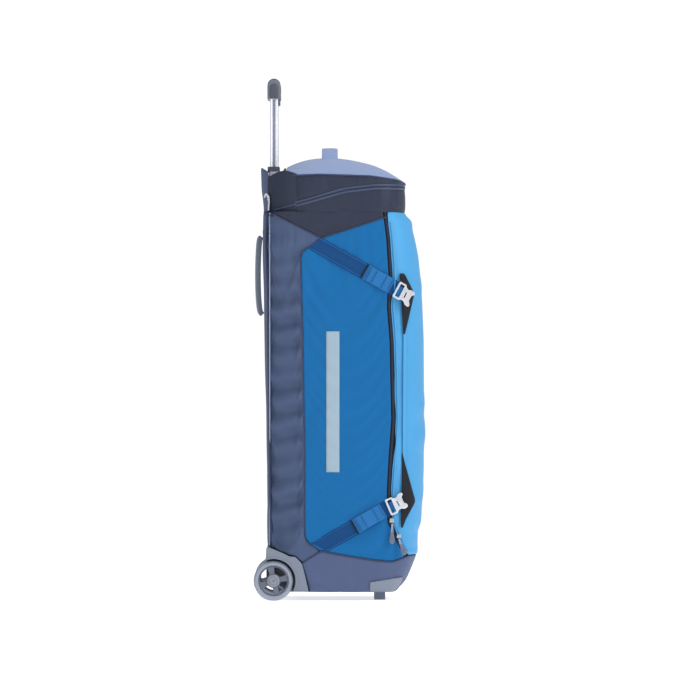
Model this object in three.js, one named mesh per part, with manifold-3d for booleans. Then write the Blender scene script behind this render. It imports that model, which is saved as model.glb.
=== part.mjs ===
// Rolling duffel bag standing on its wheels. Millimetres, +Z up, front (lid) towards -Y,
// trolley and wheels towards +Y, origin on the floor under the middle of its outline.

import * as THREE from 'three';
import { mergeVertices } from 'three/addons/utils/BufferGeometryUtils.js';
import Module from 'manifold-3d';

const wasm = await Module();
wasm.setup();

// ---- driving dimensions ----
const HALF_WIDTH = 190;          // half of the bag's width over the side panels
const WALL = 4;                  // padded fabric wall
const MIDDLE_Y = -20;            // where the plan outline is widest
const FRONT_POWER = 4.5;         // squareness of the plan outline towards the lid
const BACK_POWER = 6.5;          // squareness of the plan outline towards the trolley
const OUTLINE_POINTS = 36;

const BASE_Z = 15;               // underside of the base above the floor
const SHOULDER_Z = 700;          // top of the main compartment
const LID_FOOT_Z = 82;           // bottom edge of the lid
const POCKET_BACK_Y = 104;       // back wall of the end pocket, just in front of the trolley
const POCKET_FRONT_Y = -117;
const CAP_BACK_Y = 97;           // the end pocket's cap ends here, on its hinge
const CAP_CORNER_Z = 716;        // and its rear lower corners are cut off this high, to swing clear

const WHEEL_R = 36;
const WHEEL_Y = 120;
const AXLE_R = 4;
const BUSH = { bore: 4.1, r: 7.5 };
const RIM = { r: 27, windowIn: 12.5, windowOut: 22.5, x0: 167, x1: 185 };
const TYRE = { x0: 165, x1: 189 };
const ARCH_R = 39;
const HOUSING_IN_X = 150;        // inner face of the wheel housing
const WELL_X = 162;              // floor of the wheel well

const TUBE_X = 95;               // each trolley tube's distance from the middle
const TUBE_Y = 119.5;
const OUTER_TUBE = { w: 18.4, d: 18.4, wall: 1.2, z0: 240, z1: 776 };
const INNER_TUBE = { w: 14, d: 14.8, wall: 1.2, z0: 356, z1: 907 };
const GRIP = { halfLength: 112, r: 12, z0: 907.4, z1: 943.7 };
const GRIP_CORE_R = 8;
const TRIGGER = { halfLength: 45, y0: 108.5, y1: 114.5, z0: 896.5, z1: 911.5, travel: 5 };
const LOCK_Z = 363;              // height of the lock pins

const WEBBING = 2;               // thickness of strap webbing
const PROUD = 0.8;               // clearance between a strap or a plate and the panel beneath it
const HOOK_TILT = 4;             // degrees each hook leans in over the lid

// ---- colours and finishes ----
const finish = (color, roughness, metalness) => (
  new THREE.MeshStandardMaterial({ color, roughness, metalness })
);
const navyCloth = () => finish(0x4a5777, 0.85, 0);
const blueCloth = () => finish(0x2a76bd, 0.6, 0);
const lidCloth = () => finish(0x5ea5de, 0.6, 0);
const greyPlastic = () => finish(0x8c94a2, 0.55, 0);
const darkPlastic = () => finish(0x3c4150, 0.5, 0);
const tyreRubber = () => finish(0x7d8594, 0.7, 0);
const steel = () => finish(0xb4b6ba, 0.35, 1);
const aluminium = () => finish(0xd9dbe2, 0.3, 1);
const webbingCloth = () => finish(0x1f6fb0, 0.8, 0);

const bag = new THREE.Group();

function addPart(name, geometry, material) {
  const bare = geometry.clone();
  bare.deleteAttribute('normal');
  bare.deleteAttribute('uv');
  const mesh = new THREE.Mesh(outward(mergeVertices(bare, 1e-4)), material);
  mesh.name = name;
  bag.add(mesh);
  return mesh;
}

// ---- solids ----
// Turns a closed mesh's faces outward, by the sign of its volume.
function outward(geometry) {
  const indexed = geometry.index ? geometry : mergeVertices(geometry);
  const place = indexed.attributes.position;
  const index = indexed.index;
  const [a, b, c] = [new THREE.Vector3(), new THREE.Vector3(), new THREE.Vector3()];
  let volume = 0;
  for (let i = 0; i < index.count; i += 3) {
    a.fromBufferAttribute(place, index.getX(i));
    b.fromBufferAttribute(place, index.getX(i + 1));
    c.fromBufferAttribute(place, index.getX(i + 2));
    volume += a.dot(b.cross(c));
  }
  if (volume < 0) {
    for (let i = 0; i < index.count; i += 3) {
      const first = index.getX(i);
      index.setX(i, index.getX(i + 1));
      index.setX(i + 1, first);
    }
  }
  return indexed;
}

function toSolid(geometry) {
  const bare = geometry.clone();
  bare.deleteAttribute('normal');
  bare.deleteAttribute('uv');
  const merged = outward(mergeVertices(bare, 1e-4));
  return new wasm.Manifold(new wasm.Mesh({
    numProp: 3,
    vertProperties: new Float32Array(merged.attributes.position.array),
    triVerts: new Uint32Array(merged.index.array),
  }));
}

function toGeometry(solid) {
  const mesh = solid.getMesh();
  const geometry = new THREE.BufferGeometry();
  geometry.setAttribute('position', new THREE.BufferAttribute(mesh.vertProperties, 3));
  geometry.setIndex(new THREE.BufferAttribute(mesh.triVerts, 1));
  return geometry;
}

// Box from its two corners.
function box(low, high) {
  const geometry = new THREE.BoxGeometry(high[0] - low[0], high[1] - low[1], high[2] - low[2]);
  geometry.translate((low[0] + high[0]) / 2, (low[1] + high[1]) / 2, (low[2] + high[2]) / 2);
  return geometry;
}

const flatShape = (outline) => new THREE.Shape(outline.map(([y, z]) => new THREE.Vector2(y, z)));

// Outline in the side view, points (y, z), made solid from x0 to x1.
function sidePlate(outline, x0, x1) {
  const shape = outline instanceof THREE.Shape ? outline : flatShape(outline);
  const geometry = new THREE.ExtrudeGeometry(shape, { depth: x1 - x0, bevelEnabled: false, curveSegments: 12 });
  const swap = new THREE.Matrix4().set(
    0, 0, 1, x0,
    1, 0, 0, 0,
    0, 1, 0, 0,
    0, 0, 0, 1,
  );
  geometry.applyMatrix4(swap);
  return geometry;
}

// Profile (distance from the axis, x) turned about the wheel axis.
function wheelTurned(profile, segments) {
  const geometry = new THREE.LatheGeometry(profile.map(([r, x]) => new THREE.Vector2(r, x)), segments);
  geometry.rotateZ(-Math.PI / 2);
  geometry.translate(0, WHEEL_Y, WHEEL_R);
  return geometry;
}

// Value at z on a polyline of [z, value] points.
function along(points, z) {
  if (z <= points[0][0]) return points[0][1];
  for (let i = 1; i < points.length; i += 1) {
    const [z1, v1] = points[i];
    const [z0, v0] = points[i - 1];
    if (z <= z1) return v0 + ((v1 - v0) * (z - z0)) / (z1 - z0);
  }
  return points[points.length - 1][1];
}

// Rings of equal length, bottom to top, each counter-clockwise seen from above, closed by flat fans.
function loft(rings) {
  const count = rings[0].length;
  const positions = rings.flat(2);
  const faces = [];
  for (let r = 0; r + 1 < rings.length; r += 1) {
    for (let i = 0; i < count; i += 1) {
      const a = r * count + i;
      const b = r * count + ((i + 1) % count);
      faces.push(a, b, b + count, a, b + count, a + count);
    }
  }
  const caps = [[0, true], [rings.length - 1, false]];
  for (const [r, down] of caps) {
    const centre = positions.length / 3;
    const sum = [0, 0, 0];
    for (const point of rings[r]) point.forEach((value, k) => { sum[k] += value / count; });
    positions.push(...sum);
    for (let i = 0; i < count; i += 1) {
      const a = r * count + i;
      const b = r * count + ((i + 1) % count);
      if (down) faces.push(b, a, centre);
      else faces.push(a, b, centre);
    }
  }
  const geometry = new THREE.BufferGeometry();
  geometry.setAttribute('position', new THREE.BufferAttribute(new Float32Array(positions), 3));
  geometry.setIndex(faces);
  return toSolid(geometry);
}

// ---- the bag's outer form ----
// Front and back of the outline at each height, in the middle of the bag, as [z, y].
const FRONT_LINE = [
  [15, -98], [25, -110], [37, -120], [58, -129], [81, -138], [82, -140], [104, -144],
  [128, -145], [139, -151], [232, -156], [325, -156.5], [470, -156], [532, -153.6],
  [583, -150], [621, -146.5], [649, -141], [674, -135], [690, -135], [700, -116],
];
const BACK_LINE = [
  [15, 100], [28, 116], [60, 130], [97, 131], [288, 134.5], [561, 137.5], [652, 141], [700, 139],
];
const WIDTH_LINE = [[15, 172], [25, 182], [45, 188], [110, HALF_WIDTH], [640, HALF_WIDTH], [700, 187]];
const BODY_LEVELS = [15, 25, 37, 58, 81, 104, 139, 232, 470, 583, 649, 690, 700];

// One plan outline: a superellipse with its own squareness in front of and behind its widest place.
function planRing(halfWidth, front, back, z) {
  const ring = [];
  for (let i = 0; i < OUTLINE_POINTS; i += 1) {
    const turn = (2 * Math.PI * (i + 0.5)) / OUTLINE_POINTS;
    const c = Math.cos(turn);
    const s = Math.sin(turn);
    const power = 2 / (s < 0 ? FRONT_POWER : BACK_POWER);
    const reach = s < 0 ? MIDDLE_Y - front : back - MIDDLE_Y;
    const x = halfWidth * Math.sign(c) * Math.abs(c) ** power;
    const y = MIDDLE_Y + reach * Math.sign(s) * Math.abs(s) ** power;
    ring.push([x, y, z]);
  }
  return ring;
}

// The body's solid form, grown outward by proud (negative shrinks it).
function bodyForm(proud, zLow = BASE_Z, zHigh = SHOULDER_Z) {
  const inside = BODY_LEVELS.filter((z) => z > zLow && z < zHigh);
  return loft([zLow, ...inside, zHigh].map((z) => planRing(
    along(WIDTH_LINE, z) + proud,
    along(FRONT_LINE, z) - proud,
    along(BACK_LINE, z) + proud,
    z,
  )));
}

const bodyShell = (inner, outer) => bodyForm(outer).subtract(bodyForm(inner, BASE_Z - inner, SHOULDER_Z + 10));

const FAR = 400;

// ---- seams in the side view, points (y, z) ----
const GUTTER = [
  [-86, 700], [-92, 652], [-96, 590], [-93, 532], [-98, 470], [-101, 325],
  [-96, 255], [-93, 199], [-94, 143], [-112, 100], [-124, LID_FOOT_Z],
];
const HOUSING_SEAM = [[FAR, 97], [127.5, 97], [103, 87], [91, 81], [80.5, 80.5], [68, 68]];
const BASE_SEAM = [...HOUSING_SEAM, [36, 91], [16, 86], [-22, 79], [-64, 72.5], [-95, 70]];
const SEAM_GAP = 0.8;
const GUTTER_WIDTH = 5;

const lidRegion = sidePlate([[-FAR, LID_FOOT_Z], ...[...GUTTER].reverse(), [-FAR, SHOULDER_Z]], -FAR, FAR);
const sideRegion = sidePlate([
  ...BASE_SEAM.map(([y, z]) => [y, z + SEAM_GAP]),
  ...GUTTER.slice(0, -1).reverse().map(([y, z]) => [y + GUTTER_WIDTH, z]),
  [FAR, SHOULDER_Z],
], -FAR, FAR);
const baseRegion = sidePlate([
  ...BASE_SEAM,
  [-112, 76],
  [-124, LID_FOOT_Z - SEAM_GAP],
  [-FAR, LID_FOOT_Z - SEAM_GAP],
  [-FAR, 0],
  [FAR, 0],
], -FAR, FAR);

const shell = bodyShell(-WALL, 0);
const SIDES = [['left', -1], ['right', 1]];
const halfSpace = (side) => toSolid(
  side < 0 ? box([-FAR, -FAR, 0], [-1, FAR, 1000]) : box([1, -FAR, 0], [FAR, FAR, 1000]),
);
const ONE_BODY = { left: halfSpace(-1), right: halfSpace(1) };

// ---- base, wheel housings, side panels, back cover ----
const BACK_SEAM_X = 152;
const coverRoom = (clear) => toSolid(box([-BACK_SEAM_X + clear, 110, 98], [BACK_SEAM_X - clear, FAR, 690]));

// A grey moulding with an arch over the wheel and an inner wall that holds the axle.
function housing(side) {
  const topAndFront = [
    [133, 96], [127.5, 96], [103, 86], [91, 80], [80.5, 79.5], [68.5, 67], [63.5, 48], [56.5, 17],
  ];
  const outer = [...topAndFront, [99, 17], [133, 60]];
  const innerWall = [...topAndFront, [90, 17], [101, 25], [114, 28], [128, 28], [133, 36]];
  const [wellLow, wellHigh] = side < 0 ? [-HALF_WIDTH, -WELL_X] : [WELL_X, HALF_WIDTH];
  const [wallLow, wallHigh] = side < 0 ? [-WELL_X, -HOUSING_IN_X] : [HOUSING_IN_X, WELL_X];
  const drum = (r, x0, x1, segments) => toSolid(wheelTurned([[0, x0], [r, x0], [r, x1], [0, x1]], segments));
  const arch = drum(ARCH_R, wellLow - 1, wellHigh + 1, 48);
  const block = toSolid(sidePlate(outer, wellLow, wellHigh)).subtract(arch);
  const wall = toSolid(sidePlate(innerWall, wallLow, wallHigh));
  return block.add(wall).subtract(drum(AXLE_R + 0.3, wallLow - 1, wallHigh + 1, 24));
}

// What a housing and its axle's nut take out of the base, with a clearance round them.
function housingRoom(side) {
  const room = [
    [FAR, 0], [FAR, 99], [127.5, 99], [103, 89], [91, 83], [79.5, 82.5], [66.5, 69.5], [62.8, 48],
    [55.5, 14], [55.5, 0],
  ];
  const inner = HOUSING_IN_X - SEAM_GAP;
  const nutProfile = [[0, 144], [8.5, 144], [8.5, 151], [0, 151]];
  const nut = toSolid(wheelTurned(nutProfile.map(([r, x]) => [r, side * x]), 16));
  return toSolid(sidePlate(room, side < 0 ? -FAR : inner, side < 0 ? -inner : FAR)).add(nut);
}

const baseTray = shell.intersect(toSolid(baseRegion)).subtract(housingRoom(-1)).subtract(housingRoom(1));
addPart('base_tray', toGeometry(baseTray), navyCloth());
addPart('back_cover', toGeometry(shell.intersect(coverRoom(SEAM_GAP))), navyCloth());
const sideBand = shell.intersect(toSolid(sideRegion)).subtract(coverRoom(0));
const bumperShell = bodyForm(3, BASE_Z + 1, 60).subtract(bodyForm(0.4, BASE_Z - 1, 61));
const bumperRegion = toSolid(sidePlate(
  [[-55, 0], [-55, 34], [-62, 35], [-113, 43.5], [-FAR, 44], [-FAR, 0]],
  -FAR,
  FAR,
));
for (const [name, side] of SIDES) {
  addPart(`side_panel_${name}`, toGeometry(sideBand.intersect(ONE_BODY[name])), blueCloth());
  addPart(`wheel_housing_${name}`, toGeometry(housing(side)), greyPlastic());
  const corner = toSolid(side < 0 ? box([-FAR, -FAR, 0], [-125, 0, 60]) : box([125, -FAR, 0], [FAR, 0, 60]));
  const bumper = bumperShell.intersect(bumperRegion).intersect(corner);
  addPart(`front_bumper_${name}`, toGeometry(bumper), greyPlastic());
  const footX = side * 75;
  addPart(`front_foot_${name}`, box([footX - 15, -82, 0], [footX + 15, -62, BASE_Z - 0.4]), tyreRubber());
}
addPart('back_board', box([-130, POCKET_BACK_Y + 1.5, 34], [130, 109.6, 762]), darkPlastic());

// ---- lid ----
addPart('lid', toGeometry(shell.intersect(toSolid(lidRegion))), lidCloth());

// ---- end pocket: collar, cap and the floor that parts it from the main compartment ----
// Height of the crown along the bag's side edge and along its middle, as [y, z].
const EDGE_LINE = [[-117, 743], [-104, 757], [-55, 766], [36, 768], [105, 765]];
const CROWN_LINE = [[-117, 743], [-105, 755], [-69, 781], [-38, 787], [4, 797], [33, 797], [104, 780]];
const CROWN_HALF = 187;

function crownHeight(x, y) {
  const edge = along(EDGE_LINE, y);
  return edge + (along(CROWN_LINE, y) - edge) * (1 - Math.min(1, Math.abs(x) / CROWN_HALF) ** 2.2);
}

function crownForm(proud, zLow) {
  const wall = planRing(CROWN_HALF + proud, POCKET_FRONT_Y - proud, POCKET_BACK_Y + proud, zLow);
  const rings = [0, 0.5, 1].map((t) => wall.map(([x, y]) => {
    const top = along(EDGE_LINE, y) + proud;
    return [x, y, zLow + (top - zLow) * t];
  }));
  for (const shrink of [0.9, 0.72, 0.45, 0.15]) {
    rings.push(wall.map(([x, y]) => {
      const [px, py] = [x * shrink, MIDDLE_Y + (y - MIDDLE_Y) * shrink];
      return [px, py, crownHeight(px, py) + proud];
    }));
  }
  return loft(rings);
}

const crownShell = crownForm(0, SHOULDER_Z + SEAM_GAP).subtract(crownForm(-WALL, SHOULDER_Z - 5));
const POCKET_ZIP = [[121, 703], [105, 707], [-9, 740], [-90, 744], [-FAR, 736]];
const ZIP_CLEAR = 3;
const capRegion = toSolid(sidePlate([
  [CAP_BACK_Y, CAP_CORNER_Z],
  ...POCKET_ZIP.slice(2).map(([y, z]) => [y, z + ZIP_CLEAR]),
  [-FAR, FAR * 3],
  [CAP_BACK_Y, FAR * 3],
], -FAR, FAR));
const capRoom = toSolid(sidePlate([
  [CAP_BACK_Y + SEAM_GAP, 708],
  ...POCKET_ZIP.slice(2),
  [-FAR, FAR * 3],
  [CAP_BACK_Y + SEAM_GAP, FAR * 3],
], -FAR, FAR));
addPart('pocket_cap', toGeometry(crownShell.intersect(capRegion)), navyCloth());
addPart('top_collar', toGeometry(crownShell.subtract(capRoom)), navyCloth());
const floorPlan = (z) => planRing(CROWN_HALF - 9, POCKET_FRONT_Y + 14, POCKET_BACK_Y - 1, z);
addPart('pocket_floor', toGeometry(loft([floorPlan(691), floorPlan(693)])), navyCloth());

// ---- wheels ----
const WHEEL_SEGMENTS = 40;
function rimShape() {
  const shape = new THREE.Shape();
  shape.absarc(WHEEL_Y, WHEEL_R, RIM.r, 0, 2 * Math.PI);
  const bore = new THREE.Path();
  bore.absarc(WHEEL_Y, WHEEL_R, BUSH.r + 0.3, 0, 2 * Math.PI, true);
  shape.holes.push(bore);
  const spokes = 4;
  for (let i = 0; i < spokes; i += 1) {
    const from = (2 * Math.PI * (i + 0.18)) / spokes + 0.2;
    const to = (2 * Math.PI * (i + 0.82)) / spokes + 0.2;
    const window = new THREE.Path();
    window.absarc(WHEEL_Y, WHEEL_R, RIM.windowOut, from, to, false);
    window.absarc(WHEEL_Y, WHEEL_R, RIM.windowIn, to, from, true);
    window.closePath();
    shape.holes.push(window);
  }
  return shape;
}

const tyreProfile = [
  [RIM.r + 0.3, TYRE.x0 + 3], [RIM.r + 2, TYRE.x0], [WHEEL_R - 4, TYRE.x0],
  [WHEEL_R - 1, TYRE.x0 + 3], [WHEEL_R, TYRE.x0 + 8], [WHEEL_R, TYRE.x1 - 8],
  [WHEEL_R - 1, TYRE.x1 - 3], [WHEEL_R - 4, TYRE.x1], [RIM.r + 2, TYRE.x1],
  [RIM.r + 0.3, TYRE.x1 - 3], [RIM.r + 0.3, TYRE.x0 + 3],
];
const bushProfile = [
  [BUSH.bore, RIM.x0], [BUSH.r, RIM.x0], [BUSH.r, RIM.x1], [BUSH.bore, RIM.x1], [BUSH.bore, RIM.x0],
];
const axleProfile = [
  [0, 146], [6.5, 146], [6.5, 149.4], [AXLE_R, 149.4], [AXLE_R, 162.4], [7, 162.4], [7, 166.6],
  [AXLE_R, 166.6], [AXLE_R, 185.4], [6.5, 185.4], [6.5, 187.8], [0, 187.8],
];
const capProfile = [[0, 188.6], [9, 188.6], [9, 185.4], [11.2, 185.4], [11.2, 189], [9, 190.6], [0, 190.6]];
for (const [name, side] of SIDES) {
  const turned = (profile, segments) => wheelTurned(profile.map(([r, x]) => [r, side * x]), segments);
  addPart(`tyre_${name}`, turned(tyreProfile, WHEEL_SEGMENTS), tyreRubber());
  const [x0, x1] = side < 0 ? [-RIM.x1, -RIM.x0] : [RIM.x0, RIM.x1];
  addPart(`wheel_rim_${name}`, sidePlate(rimShape(), x0, x1), darkPlastic());
  addPart(`wheel_bush_${name}`, turned(bushProfile, 24), steel());
  addPart(`axle_${name}`, turned(axleProfile, 20), steel());
  addPart(`hub_cap_${name}`, turned(capProfile, 28), greyPlastic());
}

// ---- trolley ----
function rectangle(w, d, corner) {
  const shape = new THREE.Shape();
  const [x, y] = [w / 2, d / 2];
  shape.moveTo(-x + corner, -y);
  shape.lineTo(x - corner, -y);
  shape.quadraticCurveTo(x, -y, x, -y + corner);
  shape.lineTo(x, y - corner);
  shape.quadraticCurveTo(x, y, x - corner, y);
  shape.lineTo(-x + corner, y);
  shape.quadraticCurveTo(-x, y, -x, y - corner);
  shape.lineTo(-x, -y + corner);
  shape.quadraticCurveTo(-x, -y, -x + corner, -y);
  return shape;
}

function upright(shape, x, z0, z1) {
  const geometry = new THREE.ExtrudeGeometry(shape, { depth: z1 - z0, bevelEnabled: false, curveSegments: 3 });
  geometry.translate(x, TUBE_Y, z0);
  return geometry;
}

function tube({ w, d, wall, z0, z1 }, x) {
  const shape = rectangle(w, d, 3);
  shape.holes.push(rectangle(w - 2 * wall, d - 2 * wall, 2));
  return upright(shape, x, z0, z1);
}

const pinDrum = (r, x0, x1) => {
  const geometry = new THREE.CylinderGeometry(r, r, x1 - x0, 16);
  geometry.rotateZ(Math.PI / 2);
  geometry.translate((x0 + x1) / 2, TUBE_Y, LOCK_Z);
  return geometry;
};

let bezel = toSolid(box([-110, 109.8, OUTER_TUBE.z1 + 0.4], [110, 131, 784]));
for (const [name, side] of SIDES) {
  const x = side * TUBE_X;
  const outerFace = INNER_TUBE.w / 2;
  const span = (from, to) => (side < 0 ? [x - to, x - from] : [x + from, x + to]);
  addPart(`outer_tube_${name}`, tube(OUTER_TUBE, x), aluminium());
  const hole = toSolid(pinDrum(3, ...span(2, outerFace + 1)));
  addPart(`inner_tube_${name}`, toGeometry(toSolid(tube(INNER_TUBE, x)).subtract(hole)), aluminium());
  addPart(`lock_pin_${name}`, pinDrum(2.5, ...span(2.5, outerFace + 0.4)), steel());
  addPart(`push_rod_${name}`, upright(rectangle(5, 5, 1), x, LOCK_Z + 9, INNER_TUBE.z1 - 1), steel());
  bezel = bezel.subtract(toSolid(upright(rectangle(INNER_TUBE.w + 1, INNER_TUBE.d + 1, 2), x, 770, 790)));
}
addPart('trolley_bezel', toGeometry(bezel), darkPlastic());
const footTop = OUTER_TUBE.z0 - 0.4;
addPart('trolley_foot', box([-108, 110, footTop - 21.6], [108, 127, footTop]), darkPlastic());

// Arch section of the grip: straight sides under a half-round top.
function archShape(r, z0, top) {
  const shape = new THREE.Shape();
  shape.moveTo(TUBE_Y + r, z0);
  shape.absarc(TUBE_Y, top - r, r, 0, Math.PI, false);
  shape.lineTo(TUBE_Y - r, z0);
  shape.closePath();
  return shape;
}
const triggerSlot = toSolid(box(
  [-TRIGGER.halfLength - 1, 100, GRIP.z0 - 5],
  [TRIGGER.halfLength + 1, TRIGGER.y1 + 0.6, TRIGGER.z1 + TRIGGER.travel + 1.5],
));
const gripOuter = toSolid(sidePlate(archShape(GRIP.r, GRIP.z0, GRIP.z1), -GRIP.halfLength, GRIP.halfLength));
const coreTop = GRIP.z1 - (GRIP.r - GRIP_CORE_R) - 5;
const coreHalf = GRIP.halfLength + 2;
const roomArch = archShape(GRIP_CORE_R + 0.4, GRIP.z0 - 5, coreTop + 0.4);
const gripRoom = toSolid(sidePlate(roomArch, -coreHalf - 3, coreHalf + 3));
const gripCore = toSolid(sidePlate(archShape(GRIP_CORE_R, GRIP.z0, coreTop), -coreHalf, coreHalf));
addPart('grip_shell', toGeometry(gripOuter.subtract(gripRoom).subtract(triggerSlot)), greyPlastic());
addPart('grip_core', toGeometry(gripCore.subtract(triggerSlot)), darkPlastic());
addPart('release_trigger', box(
  [-TRIGGER.halfLength, TRIGGER.y0, TRIGGER.z0],
  [TRIGGER.halfLength, TRIGGER.y1, TRIGGER.z1],
), greyPlastic());

// ---- compression straps, hook buckles and the keepers on the lid ----
const strapShell = bodyForm(PROUD + WEBBING, 60, 690).subtract(bodyForm(PROUD, 59, 691));
const STRAPS = {
  upper: [[32.8, 654], [61.9, 637.7], [-90, 550], [-90, 581.7]],
  lower: [[60, 106], [16.4, 86.3], [-90, 151.2], [-77.5, 180]],
};
// Hook outline: the webbing bar's two ends first, then round the hook's nose.
const HOOKS = {
  upper: [
    [-94, 549], [-108.5, 576], [-116, 571], [-125, 557],
    [-128.5, 554], [-121, 524], [-113, 526], [-100, 538],
  ],
  lower: [
    [-93, 152], [-79.5, 183.5], [-88, 190], [-104, 198],
    [-117.6, 208], [-127, 178], [-116, 163], [-104, 156],
  ],
};
// Strip along the lid's edge with a point at each hook, where the hooks catch.
const KEEPER_STRIP = [
  [-110, 575], [-115, 592], [-135, 556], [-119, 480],
  [-117, 266], [-137, 180], [-118, 140], [-110, 155],
];
const HOOK_X = [190.6, 194.4];
const SLOT_INSET = 0.3;           // how far from the bar towards the plate's middle the slot starts
const SLOT_TAPER = 0.5;

// A plate in the side view with an oblong slot behind its webbing bar, leaning in over the lid.
function hook(corners, side) {
  const shape = flatShape(corners);
  const [a, b] = corners;
  const middle = new THREE.Vector2();
  for (const [y, z] of corners) middle.add(new THREE.Vector2(y, z).divideScalar(corners.length));
  const slotEnd = (corner) => new THREE.Vector2(...corner).lerp(middle, SLOT_INSET);
  const [a0, b0] = [slotEnd(a), slotEnd(b)];
  const [a1, b1] = [a0, b0].map((end) => end.clone().lerp(middle, SLOT_TAPER));
  shape.holes.push(new THREE.Path([a0, a1, b1, b0]));
  const geometry = sidePlate(shape, -HOOK_X[1], -HOOK_X[0]);
  const pivot = new THREE.Vector3(-HOOK_X[0], a[0], a[1]);
  const axis = new THREE.Vector3(0, b[0] - a[0], b[1] - a[1]).normalize();
  const lean = (axis.z > 0 ? 1 : -1) * THREE.MathUtils.degToRad(HOOK_TILT);
  geometry.translate(-pivot.x, -pivot.y, -pivot.z);
  geometry.applyMatrix4(new THREE.Matrix4().makeRotationAxis(axis, lean));
  geometry.translate(pivot.x, pivot.y, pivot.z);
  if (side > 0) geometry.scale(-1, 1, 1);
  return geometry;
}

const keeperShell = strapShell.intersect(toSolid(sidePlate(KEEPER_STRIP, -FAR, FAR)));
for (const [name] of SIDES) {
  addPart(`hook_keeper_${name}`, toGeometry(keeperShell.intersect(ONE_BODY[name])), webbingCloth());
}
for (const level of ['upper', 'lower']) {
  const strapRegion = toSolid(sidePlate(STRAPS[level], -FAR, FAR));
  for (const [name, side] of SIDES) {
    const strap = strapShell.intersect(strapRegion).intersect(ONE_BODY[name]);
    addPart(`compression_strap_${level}_${name}`, toGeometry(strap), webbingCloth());
    addPart(`hook_buckle_${level}_${name}`, hook(HOOKS[level], side), aluminium());
  }
}

// ---- handles ----
// Top webbing loop: a flat arch across the bag, seen in (x, z), narrowed where it is sewn to the crown.
const TOP_HANDLE = { halfSpan: 70, y0: 4, y1: 33, foot: 800, top: 820, thick: 3 };
function topHandle() {
  const { halfSpan, y0, y1, foot, top, thick } = TOP_HANDLE;
  const rise = top - foot;
  const shape = new THREE.Shape();
  const [inner, under] = [halfSpan - thick, top - thick];
  const bend = halfSpan * 0.6;
  shape.moveTo(-halfSpan, foot);
  shape.bezierCurveTo(-halfSpan, foot + rise * 1.1, -bend, top, 0, top);
  shape.bezierCurveTo(bend, top, halfSpan, foot + rise * 1.1, halfSpan, foot);
  shape.lineTo(inner, foot);
  shape.bezierCurveTo(inner, foot + rise, bend - thick, under, 0, under);
  shape.bezierCurveTo(thick - bend, under, -inner, foot + rise, -inner, foot);
  const geometry = new THREE.ExtrudeGeometry(shape, { depth: y1 - y0, bevelEnabled: false, curveSegments: 8 });
  geometry.rotateX(Math.PI / 2);
  geometry.translate(0, y1, 0);
  const middle = (y0 + y1) / 2;
  const narrow = (low, high) => toSolid(box([-FAR, low, 0], [FAR, high, foot + 6]));
  return toSolid(geometry).subtract(narrow(-FAR, middle - 4)).subtract(narrow(middle + 4, FAR));
}
addPart('top_handle', toGeometry(topHandle()), navyCloth());
addPart('back_handle', sidePlate([
  [138.6, 519], [143, 519], [149, 540], [149.4, 588], [149.2, 635],
  [144, 656], [142.4, 656], [144.4, 634], [145, 588], [144, 545],
], -16, 16), greyPlastic());

// ---- stowed harness, its cover flap and hooks ----
addPart('shoulder_harness', box([-70, 112, 300], [70, 127, 690]), navyCloth());
addPart('harness_flap', sidePlate(
  [[134, 701], [137, 701], [140, 740], [144.5, 783], [141, 783], [136.6, 740]],
  -120,
  120,
), navyCloth());
for (const [name, side] of SIDES) {
  const outline = [[127.5, 701], [134, 701], [135, 736], [129, 738]];
  addPart(`harness_hook_${name}`, sidePlate(outline, side * 152 - 1.5, side * 152 + 1.5), steel());
}

// ---- zip sliders and pullers ----
// Puller seen from the side: a rounded tab hanging from a narrow cord at its pivot (y, z).
function puller(pivot, drop, lean, x0, x1) {
  const shape = new THREE.Shape();
  const [cord, half, tab] = [1.4, 5, 26];
  shape.moveTo(-cord, 0);
  shape.lineTo(-cord, -drop + tab);
  shape.lineTo(-half, -drop + tab - 3);
  shape.lineTo(-half, -drop + half);
  shape.absarc(0, -drop + half, half, Math.PI, 2 * Math.PI, false);
  shape.lineTo(half, -drop + tab - 3);
  shape.lineTo(cord, -drop + tab);
  shape.lineTo(cord, 0);
  const geometry = sidePlate(shape, x0, x1);
  geometry.rotateX(THREE.MathUtils.degToRad(lean));
  geometry.translate(0, pivot[0], pivot[1]);
  return geometry;
}
addPart('lid_zip_slider_rear', box([-194, -98, 141.5], [-190.6, -89, 149]), steel());
addPart('lid_zip_puller_rear', puller([-94, 139.4], 37.5, 0, -194.4, -191.6), greyPlastic());
addPart('lid_zip_slider_front', box([-190, -111, 113.5], [-186.8, -102, 120.5]), steel());
addPart('lid_zip_puller_front', puller([-106, 111.4], 32, -22, -190.8, -188.4), greyPlastic());
addPart('pocket_zip_slider', box([188, -14, 738.5], [192, -4, 746]), steel());
addPart('pocket_zip_puller', puller([-9, 736.4], 32, 0, 188.4, 191.6), greyPlastic());

export default bag;
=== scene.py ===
"""Rolling duffel bag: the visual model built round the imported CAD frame.

Lengths in this script are millimetres until mesh() turns them into metres. +Z is up, the lid
faces -Y and the trolley +Y. "left" is -X, the side that the camera sees.
"""
import math

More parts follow.
